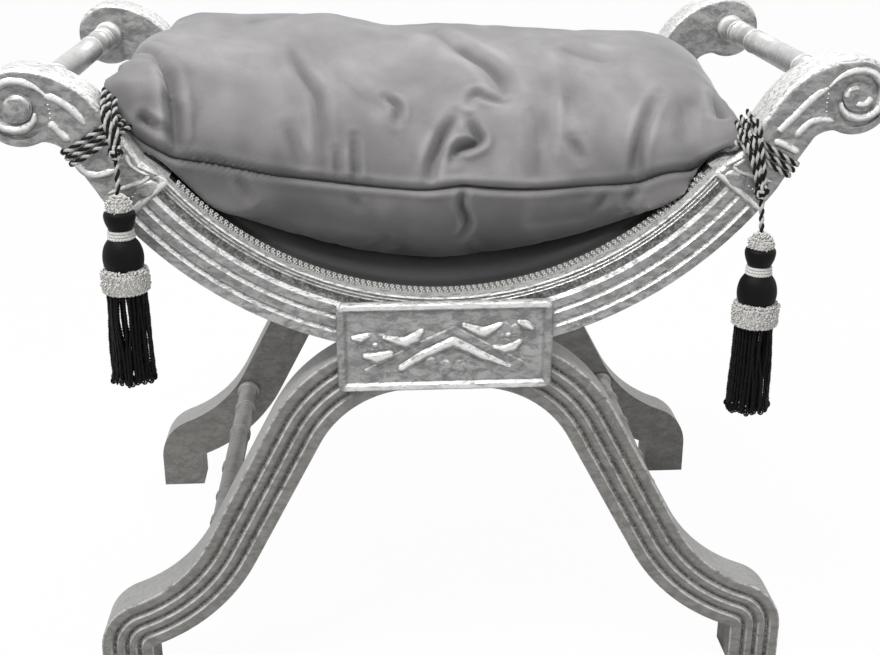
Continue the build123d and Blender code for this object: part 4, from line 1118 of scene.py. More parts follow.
class STOOL_OT_seat(bpy.types.Operator):
    """Cover the seat, lay the braid along its edges and close it underneath"""

    bl_idname = "stool.seat"
    bl_label = "Seat"

    def execute(self, context):
        cover = outward(new_object("velvet_seat_cover", *seat_cover_mesh()))
        place_piece(cover, finish("shaded_seat_velvet"), replaces=["seat_cover"])
        dress("seat_foam", "foam")
        dress("seat_webbing", "webbing")
        for face_name, face in FRAMES.items():
            def braid(y, lift=0.0):
                return (face * y, 307.4 - (211.2 - y) * 0.24 - lift)

            inner, outer = BRAID_Y
            tape = sweep_section([braid(inner, -0.4), braid(outer, -0.4), braid(outer, 0.5),
                                  braid(inner, 0.5)], -48.45, 48.45, BRAID_STEPS)
            tape = marked_object(f"{face_name}_braid_tape", *tape, np.zeros(4 * BRAID_STEPS))
            place_piece(outward(tape), finish("gimp"))
            loop = [(0.5 * math.sin(2 * t), 1.9 * math.cos(t), 1.35 * math.sin(t))
                    for t in np.linspace(0, 2 * math.pi, 9, endpoint=False)]
            v, f = tube(loop, 0.56, 4, closed=True)
            link = marked_object("link", v, f, np.ones(len(v)))
            lines = []
            for number, y in enumerate(BRAID_ROWS):
                y, r = braid(y, 1.1)
                lines.append([arc_point(r, a + 0.17 * number, y)
                              for a in np.linspace(-48.2, 47.9, 160)])
            links = repeated(f"{face_name}_braid_links", lines, link, BRAID_LINKS,
                             (0, face * 0.24, 1), finish("gimp"), uneven=0.06, seed=2)
            place_piece(links, finish("gimp"), replaces=[f"{face_name}_gimp_braid"])
        self.underside()
        return {"FINISHED"}

    def underside(self):
        """The dust cover and its tacks."""
        ys = np.linspace(-183.0, 183.0, 25)
        section = [(y, 345.1) for y in ys] + [(y, 345.9) for y in ys[::-1]]
        cloth = outward(new_object("under_cloth", *sweep_section(section, -48.3, 48.3, 61)))
        place_piece(cloth, finish("black_cloth"), replaces=["dust_cover"])
        tack = new_object("tack", *lathe([(2.4, 0.0), (2.2, 0.5), (1.2, 0.9), (0.2, 1.05)],
                                         (0, 0, 0), (1, 0, 0), 10))
        lines = [[arc_point(345.8, a, y) for a in np.linspace(-47, 47, 60)] for y in (-173, 173)]
        tacks = repeated("under_cloth_tacks", lines, tack, 22, (0, 0, -1), finish("steel"), seed=3)
        place_piece(tacks, finish("steel"))


# Cushion

# Lines on the cushion in millimetres, how wide and how deep: folds, and ridges below 0
FOLDS = [
    ([(-267, -101, 584), (-243, -148, 570), (-232, -173, 551), (-227, -196, 530),
      (-229, -186, 515)], 6, 8),
    ([(-273, -101, 580), (-253, -149, 572)], 5, 3.5),
    ([(-277, -185, 563), (-278, -147, 570), (-270, -153, 572)], 4, 4),
    ([(-263, -183, 545), (-249, -190, 541), (-235, -196, 536)], 4, 5),
    ([(-252, -183, 533), (-241, -185, 525)], 6, 7),
    ([(-135, -89, 586), (-123, -119, 568), (-108, -141, 551), (-104, -164, 530),
      (-101, -188, 497)], 5.5, 4),
    ([(-117, -84, 586), (-92, -113, 568), (-68, -135, 550), (-46, -140, 541)], 8, 2.2),
    ([(-47, -131, 549), (-37, -138, 542), (-39, -150, 530)], 4, 4.5),
    ([(-76, -166, 523), (-75, -182, 498), (-75, -190, 487)], 3.5, 4),
    ([(-92, -174, 514), (-90, -190, 491)], 3.5, 3),
    ([(-135, -167, 531), (-120, -190, 498)], 5, 2.5),
    ([(17, -144, 535), (1, -163, 519), (-8, -175, 502), (-10, -187, 485)], 5, 6),
    ([(1, -18, 589), (24, -61, 579), (44, -86, 569), (58, -113, 557), (61, -132, 545)], 9, 7),
    ([(27, -138, 542), (34, -129, 549), (46, -133, 546), (60, -134, 544)], 4, 3.5),
    ([(26, -148, 532), (31, -157, 522), (33, -164, 515), (16, -170, 511), (11, -176, 505)], 4.5, 7),
    ([(81, -137, 541), (88, -149, 531), (89, -172, 508), (84, -193, 482)], 8, 3),
    ([(111, -59, 576), (112, -112, 555), (110, -148, 531), (105, -172, 508)], 7, -2.5),
    ([(118, -128, 547), (120, -148, 531)], 5, 2),
    ([(118, -164, 518), (124, -177, 502)], 4, 3),
    ([(198, -139, 539), (185, -160, 524), (174, -181, 505), (170, -195, 489)], 5, 5.5),
    ([(248, -121, 544), (246, -149, 529), (253, -177, 509), (256, -180, 507)], 5, 4.5),
    ([(119, -49, 580), (141, -69, 571), (165, -86, 568)], 11, 3),
    ([(18, -193, 479), (18, -191, 460), (24, -182, 440), (20, -172, 425)], 3.5, 6),
    ([(175, -191, 480), (167, -184, 467)], 4, 3),
    ([(146, -193, 474), (136, -189, 459)], 4, 2.5),
    ([(-220, -184, 506), (-204, -182, 492)], 4, 3),
    ([(-178, -198, 498), (-170, -187, 474)], 4, 2.5),
    ([(-80, -194, 474), (-74, -191, 460)], 4, 2),
    ([(-250, -60, 588), (-262, 20, 588), (-250, 90, 582)], 9, 3),
    ([(-200, -60, 598), (-120, 40, 600), (-20, 110, 575)], 16, 3),
    ([(60, 60, 580), (140, 110, 560), (210, 130, 540)], 14, 3),
    ([(-140, 150, 545), (-90, 185, 505)], 8, 4),
    ([(100, 150, 530), (140, 185, 495)], 8, 4),
    ([(-20, 187, 520), (-24, 192, 485), (-18, 180, 440)], 5, 5),
    ([(-270, 60, 584), (-281, 20, 572), (-284, -30, 564)], 6, 3),
    ([(268, 40, 562), (280, 0, 545), (283, -40, 536)], 6, 3),
]
END_SHADE = [(-250, -104, 588), (-226, -150, 570), (-216, -176, 551), (-212, -192, 530)]
SEAM = [
    (-230, -203, 517), (-196, -199, 510), (-154, -197, 500), (-123, -194, 494), (-80, -191, 487),
    (-36, -188, 482), (-10, -190, 480), (18, -193, 482), (41, -194, 479), (84, -194, 478),
    (126, -193, 483), (156, -197, 485), (174, -198, 487), (198, -201, 496), (242, -207, 503),
    (256, -212, 521), (272, -160, 528), (276, -100, 531), (276, 100, 531), (272, 160, 528),
    (252, 200, 524), (222, 200, 500), (168, 196, 486), (84, 194, 478), (0, 192, 480),
    (-84, 194, 483), (-155, 197, 494), (-215, 203, 520), (-252, 204, 552), (-274, 185, 562),
    (-284, 140, 562), (-285, 0, 562), (-286, -140, 564), (-285, -190, 570), (-272, -204, 548),
    (-254, -205, 530),
]
# Heights by distance from the middle: the arms' upper edge and the seat's end, past its arc
ARM_EDGE = ([245.0, 259.5, 270.4, 284.0, 300.0], [515.4, 521.7, 538.4, 559.0, 583.0])
SEAT_END = ([238.4, 252.0, 272.0, 286.0], [520.5, 513.5, 531.0, 549.0])
# How much wider than the solid the cushion spreads over the arms, by x
SPREAD = ([-292, -275, -262, -200, -110, 0, 110, 200, 220, 244, 262, 275],
          [1.28, 1.22, 1.12, 1.10, 1.02, 1.0, 1.02, 1.15, 1.2, 1.33, 1.37, 1.37])
# Where the cushion is pushed: centre, reach along each axis, and the way it moves
PUSHES = [
    ((-262, -110, 578), (46, 80, 36), (-8, 0, 12)),
    ((-280, -196, 568), (30, 34, 30), (-9, 0, 13)),
    ((-276, -150, 574), (30, 60, 26), (-7, 0, 2)),
    ((274, -110, 536), (36, 110, 56), (-9, 0, -5)),
]


def arc_height(radius, out):
    return ARC_Z - np.sqrt(np.maximum(radius ** 2 - out ** 2, 0.0))


def resting_heights(out, wide):
    """Height of the arms' upper edge, and of what the cushion lies on, at each place."""
    edge = np.where(out < 245, arc_height(ARC_TOP, np.minimum(out, 245)), np.interp(out, *ARM_EDGE))
    crown = seat_crown(np.minimum(wide, SEAT_Y)) - 0.8
    inner = np.where(out < 238.4, arc_height(crown, np.minimum(out, 238.4)),
                     np.interp(out, *SEAT_END))
    over = smooth_step(175, 185, wide)
    return edge, inner + (edge + 1.6 - inner) * over, over


def least(a, b, blend):
    """The smaller of two lengths, with a rounded change from one to the other."""
    return -blend * np.logaddexp(-np.asarray(a) / blend, -np.asarray(b) / blend)


def surface_of(points, faces):
    return BVHTree.FromPolygons([Vector(p) for p in points], faces)


def on_surface(tree, line, steps):
    """A line brought onto the cushion's surface, in millimetres."""
    return np.array([tree.find_nearest(Vector(p))[0][:] for p in through(line, steps)])


def relax(points, faces, share, rounds):
    """Evens out a mesh where share is above 0."""
    pairs = np.array([(face[k - 1], face[k]) for face in faces for k in range(len(face))])
    count = np.bincount(pairs[:, 0], minlength=len(points))[:, None]
    for _ in range(rounds):
        mean = np.stack([np.bincount(pairs[:, 0], points[pairs[:, 1], k], len(points))
                         for k in range(3)], axis=1) / np.maximum(count, 1)
        points = points + (mean - points) * share[:, None]
    return points


def evened(line, rounds):
    """A closed line with its small zigzags taken out."""
    for _ in range(rounds):
        line = (np.roll(line, 1, axis=0) + 2 * line + np.roll(line, -1, axis=0)) / 4
    return line


def seam_line(tree, steps):
    """The seam's route, evened out on the cushion's surface."""
    line = through(SEAM + SEAM[:1], steps)[:-1]
    for _ in range(6):
        line = evened(np.array([tree.find_nearest(Vector(p))[0][:] for p in line]), 1)
    return line


def settle_cushion(points, faces):
    """Spreads the cushion's ends over the arms and lets them down on the seat."""
    p = points * 1000
    p[:, 1] *= np.interp(p[:, 0], *SPREAD)
    for centre, reach, way in PUSHES:
        near = (p - np.array(centre)) / np.array(reach)
        p = p + np.array(way) * np.exp(-(near ** 2).sum(axis=1))[:, None]
    tree = surface_of(p, faces)
    ids, far, _ = near_line(p, seam_line(tree, 4), 30.0)
    share = np.zeros(len(p))
    share[ids] = 0.7 * np.exp(-(far / 13.0) ** 2)
    p = relax(p, faces, share, 8)
    tree = surface_of(p, faces)
    out, wide = np.abs(p[:, 0]), np.abs(p[:, 1])
    _, floor, over = resting_heights(out, wide)
    share = smooth_step(120, 205, out)
    fall = np.zeros((len(p), 3))
    for i in np.nonzero(share > 0)[0]:
        hit = tree.ray_cast(Vector((p[i, 0], p[i, 1], 300.0)), Vector((0, 0, 1)))[0]
        low = hit[2] if hit else p[i, 2]
        drop = max(low - floor[i], -40.0 * over[i]) * share[i]
        fall[i, 2] = drop * (1 - smooth_step(0, 52, p[i, 2] - low))
    p = p - relax(fall, faces, np.ones(len(p)), 8)
    return relax(p, faces, 0.5 * smooth_step(110, 160, out), 3) / 1000


def fill_cushion(thing, pressure, cap):
    """Swells the cushion by a cloth simulation and gives back where its points end."""
    scene = bpy.context.scene
    start = np.array([v.co[:] for v in thing.data.vertices])
    cloth = thing.modifiers.new("Filling", "CLOTH")
    cloth.settings.quality = 5
    cloth.settings.mass = 0.3
    cloth.settings.tension_stiffness = cloth.settings.compression_stiffness = 12
    cloth.settings.bending_stiffness = 0.6
    cloth.settings.use_pressure = True
    cloth.settings.uniform_pressure_force = pressure
    cloth.settings.effector_weights.gravity = 0
    cloth.point_cache.frame_start, cloth.point_cache.frame_end = 1, 20
    for number in range(1, 21):
        scene.frame_set(number)
    graph = bpy.context.evaluated_depsgraph_get()
    swollen = thing.evaluated_get(graph).to_mesh()
    moved = np.array([v.co[:] for v in swollen.vertices]) - start
    thing.evaluated_get(graph).to_mesh_clear()
    thing.modifiers.remove(cloth)
    scene.frame_set(1)
    far = np.linalg.norm(moved, axis=1)[:, None]
    return start + moved * np.minimum(1.0, cap / np.maximum(far, 1e-9))


def near_line(points, line, reach):
    """Which points lie within reach of a line, how far off, and the share along it."""
    low, high = line.min(axis=0) - reach, line.max(axis=0) + reach
    ids = np.nonzero(np.all((points > low) & (points < high), axis=1))[0]
    best, along = np.full(len(ids), 1e9), np.zeros(len(ids))
    p = points[ids]
    for k in range(len(line) - 1):
        a, d = line[k], line[k + 1] - line[k]
        t = np.clip(((p - a) @ d) / max(d @ d, 1e-9), 0, 1)
        far = np.linalg.norm(p - a - t[:, None] * d, axis=1)
        closer = far < best
        best = np.where(closer, far, best)
        along = np.where(closer, (k + t) / (len(line) - 1), along)
    return ids, best, along


def keep_clear(p):
    """Moves the points that have gone into the seat or the arms back to their surface."""
    out, wide = np.abs(p[:, 0]), np.abs(p[:, 1])
    radius = np.hypot(p[:, 0], ARC_Z - p[:, 2])
    angle = np.degrees(np.arctan2(out, ARC_Z - p[:, 2]))
    past_end = np.interp(angle, [52.4, 53.2, 55, 60], [0, 2, 30, 200])
    limit = seat_crown(np.minimum(wide, SEAT_Y)) - 0.6 + past_end
    scale = least(radius, limit, 0.6) / np.maximum(radius, 1e-6)
    p[:, 0] *= scale
    p[:, 2] = ARC_Z - (ARC_Z - p[:, 2]) * scale
    edge = resting_heights(np.abs(p[:, 0]), wide)[0]
    low = smooth_step(240, 247, np.abs(p[:, 0]))
    limit = 222.5 - 39.9 * low * (1 - smooth_step(-0.5, 1.0, p[:, 2] - edge))
    p[:, 1] = np.sign(p[:, 1]) * least(np.abs(p[:, 1]), limit, 1.0)
    return p


def crease_cushion(points, normals, faces, depth):
    """Folds, seam and soft unevenness, kept clear of the seat and the arms.

    Gives the points, for each how near the seam it is and its painted shade, highlight and random
    pile tone, and the seam's line."""
    p = points * 1000
    tree = surface_of(p, faces)
    push, nap_and_shading = np.zeros(len(p)), np.zeros(len(p))
    for line, width, deep in FOLDS:
        ids, far, along = near_line(p, on_surface(tree, line, 8), width * 4)
        ends = np.sin(math.pi * np.clip(along, 0.04, 0.96)) ** 0.6
        far = far / width
        valley = np.exp(-(far * 1.15) ** 1.4)
        crest = np.exp(-((far - 2.0) / 0.85) ** 2)
        push[ids] += (valley * 1.25 - 0.45 * crest) * ends * deep * depth
        # painted shade in each fold's valley and painted highlight beside it
        nap_and_shading[ids] -= (1.1 * valley - 0.5 * crest) * ends * np.clip(deep / 7, -1, 1)
    # painted shade beside the end fold
    ids, far, along = near_line(p, on_surface(tree, END_SHADE, 8), 40.0)
    nap_and_shading[ids] -= 0.55 * np.exp(-(far / 11.0) ** 2) * np.sin(math.pi * np.clip(along, 0.1, 0.9))
    soft = np.array([noise.noise(Vector((a / 80, b / 60, c / 60))) for a, b, c in p])
    fine = np.array([noise.noise(Vector((a / 22, b / 30, c / 30 + 7))) for a, b, c in p])
    push += (soft * 3.2 + fine * 1.0) * smooth_step(0, 40, p[:, 2] - 440)
    nap_and_shading += np.clip(fine * 0.5, -0.3, 0.3)
    line = seam_line(tree, 12)
    ids, far, _ = near_line(p, np.vstack([line, line[:1]])[::2], 14.0)
    push[ids] *= 1 - 0.7 * np.exp(-(far / 5.0) ** 2)
    push[ids] += 2.6 * np.exp(-(far / 3.0) ** 2) - 1.2 * np.exp(-((far - 6.5) / 3.2) ** 2)
    # how near the seam each point is, for the painted shadow along it
    seam = np.zeros(len(p))
    seam[ids] = np.exp(-(far / 2.2) ** 2)
    # painted shade along the front seam, away from the middle
    ids, far, _ = near_line(p, np.vstack([line, line[:1]])[::4], 50.0)
    shaded = smooth_step(60, 150, np.abs(p[ids, 0])) * smooth_step(100, 160, -p[ids, 1])
    nap_and_shading[ids] -= 0.75 * shaded * np.exp(-(far / 26.0) ** 2)
    creased = keep_clear(p - normals * push[:, None])
    thread = []
    for at in line:
        place, _, face, _ = tree.find_nearest(Vector(at))
        moved = list(faces[face])
        thread.append(np.array(place) + (creased[moved] - p[moved]).mean(axis=0))
    return creased / 1000, seam, np.clip(nap_and_shading, -1, 1), evened(np.array(thread), 3)


class STOOL_OT_cushion(bpy.types.Operator):
    """Fill and crease the loose velvet cushion, and sew its seam"""

    bl_idname = "stool.cushion"
    bl_label = "Cushion"

    def execute(self, context):
        sizes = context.scene.stool_cushion
        cushion = bpy.data.objects.new("velvet_cushion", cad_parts["seat_cushion"].data.copy())
        context.scene.collection.objects.link(cushion)
        outward(cushion)
        mesh = self.finished(context, cushion, "REMESH", mode="VOXEL", voxel_size=0.0048)
        points, normals, faces = self.parts(mesh)
        mesh.vertices.foreach_set("co", (points - normals * sizes.swell * 0.5).ravel())
        points = fill_cushion(cushion, sizes.pressure, sizes.swell)
        mesh.vertices.foreach_set("co", settle_cushion(points, faces).ravel())
        mesh.update()
        finer = self.finished(context, cushion, "SUBSURF", levels=1, render_levels=1)
        points, normals, faces = self.parts(finer)
        points, seam, nap_and_shading, line = crease_cushion(points, normals, faces, sizes.crease)
        finer.vertices.foreach_set("co", points.ravel())
        write_marks(finer, "seam", seam)
        write_marks(finer, "nap_and_shading", nap_and_shading)
        finer.update()
        finer.shade_smooth()
        place_piece(cushion, finish("velvet"), "cushion", ["seat_cushion"])
        thread = outward(new_object("cushion_seam", *tube(even(line, 2.5, True)[0], 0.9, 6, True)))
        place_piece(thread, finish("seam_thread"), "cushion")
        return {"FINISHED"}

    def parts(self, mesh):
        """A mesh's points, their normals and its faces."""
        points, normals = np.zeros(len(mesh.vertices) * 3), np.zeros(len(mesh.vertices) * 3)
        mesh.vertices.foreach_get("co", points)
        mesh.vertices.foreach_get("normal", normals)
        faces = [tuple(face.vertices) for face in mesh.polygons]
        return points.reshape(-1, 3), normals.reshape(-1, 3), faces

    def finished(self, context, thing, kind, **settings):
        """Puts one modifier on, keeps its result as the mesh and takes it off."""
        modifier = thing.modifiers.new(kind, kind)
        for key, value in settings.items():
            setattr(modifier, key, value)
        graph = context.evaluated_depsgraph_get()
        graph.update()
        mesh = bpy.data.meshes.new_from_object(thing.evaluated_get(graph))
        thing.modifiers.clear()
        thing.data = mesh
        return mesh


# Ties and tassels

TIES = {"left": (-1, 2.0, 529.0), "right": (1, -22.0, 486.0)}
KNOT_Y = -238.9
TASSEL = (270.6, -250.0)
TASSEL_DROP = 32.5
# Start at the cushion's corner, and where the strand crosses the arm's upper edge
TIE_STRANDS = {
    "left": [((-283, -199, 574), (-281, -231.5, 562)), ((-279, -201, 571), (-276, -232.5, 560)),
             ((-274, -203, 567), (-271, -231.5, 557))],
    "right": [((258, -190, 536), (255, -232.0, 530)), ((262, -190, 541), (260.5, -232.5, 533)),
              ((267, -190, 546), (266, -231.5, 537))],
}


def tie_place(side, along, high, out):
    x, z = waist_xz(along, high)
    return (side * x, -MIDDLE_Y - out, z)


def tie_route(side, first, knot_z):
    """The cord's route, in millimetres: cushion's corner, turns round the arm, knot."""
    high, deep, pitch = 26.9, 24.4, 5.8
    route = [tie_place(side, first - 1.5, 29.5, -12.0), tie_place(side, first - 1.0, 28.5, 4.0)]
    steps = 33
    for k in range(steps + 1):
        turn = math.radians(45 + 990 * k / steps)
        c, s = math.cos(turn), math.sin(turn)
        route.append(tie_place(side, first + 2.75 * pitch * k / steps,
                               high * math.copysign(abs(c) ** 0.36, c),
                               deep * math.copysign(abs(s) ** 0.36, s)))
    last = first + 3 * pitch
    route.append(tie_place(side, last + 4.0, 28.0, 4.0))
    route.append(tie_place(side, last + 9.0, 27.5, 24.0))
    knot = np.array([side * TASSEL[0], KNOT_Y, knot_z])
    before = np.array(route[-1])
    route.append(tuple(knot + (before - knot) * 0.45))
    route.append(tuple(knot + (before - knot) / np.linalg.norm(before - knot) * 5.5))
    return in_metres(route)


class STOOL_OT_ties(bpy.types.Operator):
    """Wind the two tie cords round the front arms, and knot them"""

    bl_idname = "stool.ties"
    bl_label = "Ties"

    def execute(self, context):
        sizes = context.scene.stool_ties
        radius, lay = sizes.cord * 500, sizes.lay * 1000
        for name, (side, first, knot_z) in TIES.items():
            route = tie_route(side, first, knot_z)
            line = spline_line(route)
            tie = marked_object(f"{name}_twisted_tie", *twist(line, radius, lay))
            place_piece(outward(tie), finish("cord"), replaces=[f"{name}_tie_cord"])
            self.strands(name, side, knot_z, radius, lay, sizes.cord)
            self.knot(name, side, knot_z, radius, lay)
            self.hanging(name, side, knot_z, radius, lay, sizes.cord)
        return {"FINISHED"}

    def strands(self, name, side, knot_z, radius, lay, diameter):
        """The further strands that run from the cushion's corner down to the knot."""
        knot = np.array([side * TASSEL[0], KNOT_Y, knot_z])
        for k, (start, middle) in enumerate(TIE_STRANDS[name]):
            end = knot + np.array([(k - 1.0) * 3.0, 1.5, 4.0])
            bend = np.array(middle) * 0.4 + end * 0.6 + np.array([0.0, -2.5, 3.0])
            route = in_metres((start, middle, bend, end))
            line = spline_line(route)
            strand = marked_object(f"{name}_tie_strand_{k}", *twist(line, radius, lay))
            place_piece(outward(strand), finish("cord"))

    def knot(self, name, side, knot_z, radius, lay):
        """A round knot: loops of the cord pulled tight over each other."""
        middle = np.array([side * TASSEL[0], KNOT_Y, knot_z])
        parts = []
        v, f = ball(5.2, 9, 14)
        parts.append((v + middle, f, np.zeros(len(v))))
        for axis in ((1, 0.2, 0.3), (-0.3, 0.4, 1), (0.5, -0.9, 0.4), (0.7, 0.6, -0.5)):
            w = Vector(axis).normalized()
            a = w.orthogonal().normalized()
            b = w.cross(a)
            loop = [middle + np.array(a) * 5.0 * math.cos(t) + np.array(b) * 5.0 * math.sin(t)
                    for t in np.linspace(0, 2 * math.pi, 24, endpoint=False)]
            parts.append(twist(loop, radius * 0.95, lay * 0.9, closed=True, step=1.2))
        knot = marked_object(f"{name}_round_knot", *join_marked(parts))
        place_piece(outward(knot), finish("cord"), replaces=[f"{name}_tie_knot"])

    def hanging(self, name, side, knot_z, radius, lay, diameter):
        """The end that hangs from the knot to the tassel."""
        x = side * TASSEL[0] / 1000
        top, low = knot_z / 1000, (knot_z - TASSEL_DROP - 12.5) / 1000
        route = [(x, KNOT_Y / 1000, top), (x + 0.0003, (KNOT_Y - 5.5) / 1000, (top + low) / 2),
                 (x, TASSEL[1] / 1000, low + 0.004)]
        line = spline_line(route)
        end = marked_object(f"{name}_hanging_end", *twist(line, radius, lay))
        place_piece(outward(end), finish("cord"), f"{name}_cord",
                    [f"{name}_hanging_cord"])


def turned_threads(profile, at, threads, groove, steps=96):
    """A thread-covered form: fine upright threads round a turned outline."""
    verts = []
    for radius, z in profile:
        for k in range(steps):
            t = 2 * math.pi * k / steps
            r = radius - groove * (1 - abs(math.sin(threads * t / 2)))
            verts.append((at[0] + r * math.cos(t), at[1] + r * math.sin(t), at[2] + z))
    faces = ring_faces(len(profile), steps)
    faces.append(tuple(range(steps)))
    faces.append(tuple((len(profile) - 1) * steps + k for k in range(steps))[::-1])
    return np.array(verts), faces


def ring_line(at, radius, z, steps=48, phase=0.0):
    return [(at[0] + radius * math.cos(t + phase), at[1] + radius * math.sin(t + phase), at[2] + z)
            for t in np.linspace(0, 2 * math.pi, steps, endpoint=False)]


def boucle(name, at, rings, count, size, seed):
    """Curls of looped yarn all round: rings of (radius, height), each with its own curls."""
    loop = [(size * (0.9 + 0.5 * math.cos(t)), size * math.sin(t), size * 0.35 * math.sin(2 * t))
            for t in np.linspace(0, 2 * math.pi, 8, endpoint=False)]
    curl = new_object("curl", *tube(loop, size * 0.42, 4, closed=True))
    lines = [ring_line(at, r, z, 48, 1.7 * k) for k, (r, z) in enumerate(rings)]
    return repeated(name, lines, curl, count, (0, 0, 1), finish("pale_thread"),
                    uneven=0.35, spin=6.28, seed=seed, loop=True)


class STOOL_OT_tassels(bpy.types.Operator):
    """Make the two tassels: ruff, cup, band, bulb, collar and skirt"""

    bl_idname = "stool.tassels"
    bl_label = "Tassels"

    def execute(self, context):
        strands = context.scene.stool_ties.strands
        for number, (name, (side, _, knot_z)) in enumerate(TIES.items()):
            at = (side * TASSEL[0], TASSEL[1], knot_z - TASSEL_DROP)
            self.head(name, at, number)
            self.collar(name, at, number)
            self.skirt(name, at, strands, number)
        return {"FINISHED"}

    def piece(self, name, what, parts, node, colour):
        thing = outward(new_object(f"{name}_{what}", *join(parts)))
        place_piece(thing, finish(colour), f"{name}_tassel", [f"{name}_{node}"] if node else [])

    def head(self, name, at, number):
        """Ruff of curls, black cup, corded band and black bulb."""
        core = [(10.0 * math.sin(t) + 0.01, -12.0 + 10.0 * math.cos(t))
                for t in np.linspace(0.05, 2.9, 12)]
        self.piece(name, "ruff_core", [turned_threads(core, at, 22, 0.6, 48)], "tassel_ruff",
                   "pale_thread")
        rings = [(10.3 * math.sin(t), -12.0 + 10.3 * math.cos(t)) for t in
                 (0.32, 0.62, 0.92, 1.2, 1.45, 1.7, 1.95)]
        curls = boucle(f"{name}_ruff_curls", at, rings, 19, 1.35, 11 + number)
        place_piece(curls, finish("pale_thread"), f"{name}_tassel")
        cup = [(10.8, -13.4), (12.6, -14.3), (13.3, -16.5), (13.2, -19.5), (12.4, -23.0),
               (11.0, -26.5), (9.9, -29.2)]
        self.piece(name, "silk_cup", [turned_threads(cup, at, 34, 0.35)], "tassel_cup",
                   "black_thread")
        rings = [twist(ring_line(at, 9.7 + 0.3 * k, -30.6 - 2.6 * k), 1.6, 5.0, closed=True,
                       step=1.3, sides=6)[:2] for k in range(3)]
        band = [(9.6, -29.0), (10.4, -33.0), (10.0, -37.2)]
        self.piece(name, "corded_band", [turned_threads(band, at, 30, 0.3, 48)] + rings,
                   "tassel_band", "pale_thread")
        bulb = through([(10.6, -36.8), (12.2, -38.6), (14.8, -42.5), (16.5, -47.5), (17.2, -53.0),
                        (16.9, -58.0), (15.8, -62.0), (14.6, -64.5)], 3)
        self.piece(name, "silk_bulb", [turned_threads(bulb, at, 46, 0.3, 138)], "tassel_bulb",
                   "black_thread")

    def collar(self, name, at, number):
        """The thick collar of curls over the skirt."""
        core = [(13.0, -65.5), (18.0, -66.0), (18.8, -70.0), (19.0, -76.0), (18.6, -82.0),
                (13.0, -83.0)]
        self.piece(name, "collar_core", [turned_threads(core, at, 22, 0.6, 48)], "tassel_collar",
                   "pale_thread")
        rings = [(15.5, -64.6), (17.6, -65.2)] + [(19.0, z) for z in np.arange(-67.2, -82.5, -2.15)]
        rings += [(17.8, -83.4), (15.8, -83.8)]
        curls = boucle(f"{name}_collar_curls", at, rings, 34, 1.45, 17 + number)
        place_piece(curls, finish("pale_thread"), f"{name}_tassel")

    def skirt(self, name, at, strands, number):
        """Black twisted strands that end in loops, parted on the left."""
        rng = np.random.default_rng(7 + number)
        parts = []
        places = [(15.6, k / strands) for k in range(strands)]
        places += [(10.4, (k + 0.5) / (strands - 7)) for k in range(strands - 7)]
        places += [(4.8, k / 5) for k in range(5)]
        parting = (-3.0, 5.0)[number]
        for radius, share in places:
            angle = 2 * math.pi * share
            x, y = radius * math.cos(angle), radius * math.sin(angle)
            sway, lean = rng.uniform(-0.9, 0.9, 2), rng.uniform(-0.6, 0.6)
            length = 84.5 - rng.uniform(0, 4.0)
            line = []
            for k in range(15):
                t = k / 14
                open_way = 1.7 * math.sin(math.pi * min(t / 0.62, 1.0)) ** 0.8
                pull = math.copysign(open_way, x - parting) if abs(x - parting) < 7 else 0.0
                flare = 1.0 + 0.14 * t
                line.append((at[0] + x * flare + pull + sway[0] * math.sin(5 * t + share * 9),
                             at[1] + y * flare + sway[1] * math.sin(4 * t + share * 5) + lean * t,
                             at[2] - 80.0 - (length - 0.5) * t))
            parts.append(twist(through(line, 3), 1.4, 6.0, step=2.4, sides=5)[:2])
            foot = np.array(line[-1])
            turn = rng.uniform(0, math.pi)
            hoop = [foot + np.array((2.1 * math.cos(t) * math.cos(turn),
                                     2.1 * math.cos(t) * math.sin(turn), 1.2 + 2.6 * math.sin(t)))
                    for t in np.linspace(0, 2 * math.pi, 10, endpoint=False)]
            parts.append(tube(hoop, 0.75, 5, closed=True))
        self.piece(name, "skirt_strands", parts, "tassel_skirt", "black_thread")


# Stage


FLOOR = 40000.0  # half width of the floor, in millimetres
# Lamps in metres and watts: place, size and power
LAMPS = {
    "key": ((-0.7, -0.9, 2.6), 0.9, 52.0),
    "fill": ((1.6, -1.9, 1.2), 1.6, 6.0),
    "back": ((0.6, 1.5, 2.4), 1.4, 20.0),
}
LAMP_AIM = (0.0, 0.0, 0.38)
# The camera as fitted to the photograph: yaw, pitch down and roll in degrees
CAMERA_PLACE = (-0.06258, -1.2902, 0.77574)
CAMERA_TURN = (3.14, 21.12, 0.17)
CAMERA_FOCUS = 1288.94  # focal length and picture width, both in pixels
PICTURE_WIDTH = 880
FILM_WIDTH = 36.0


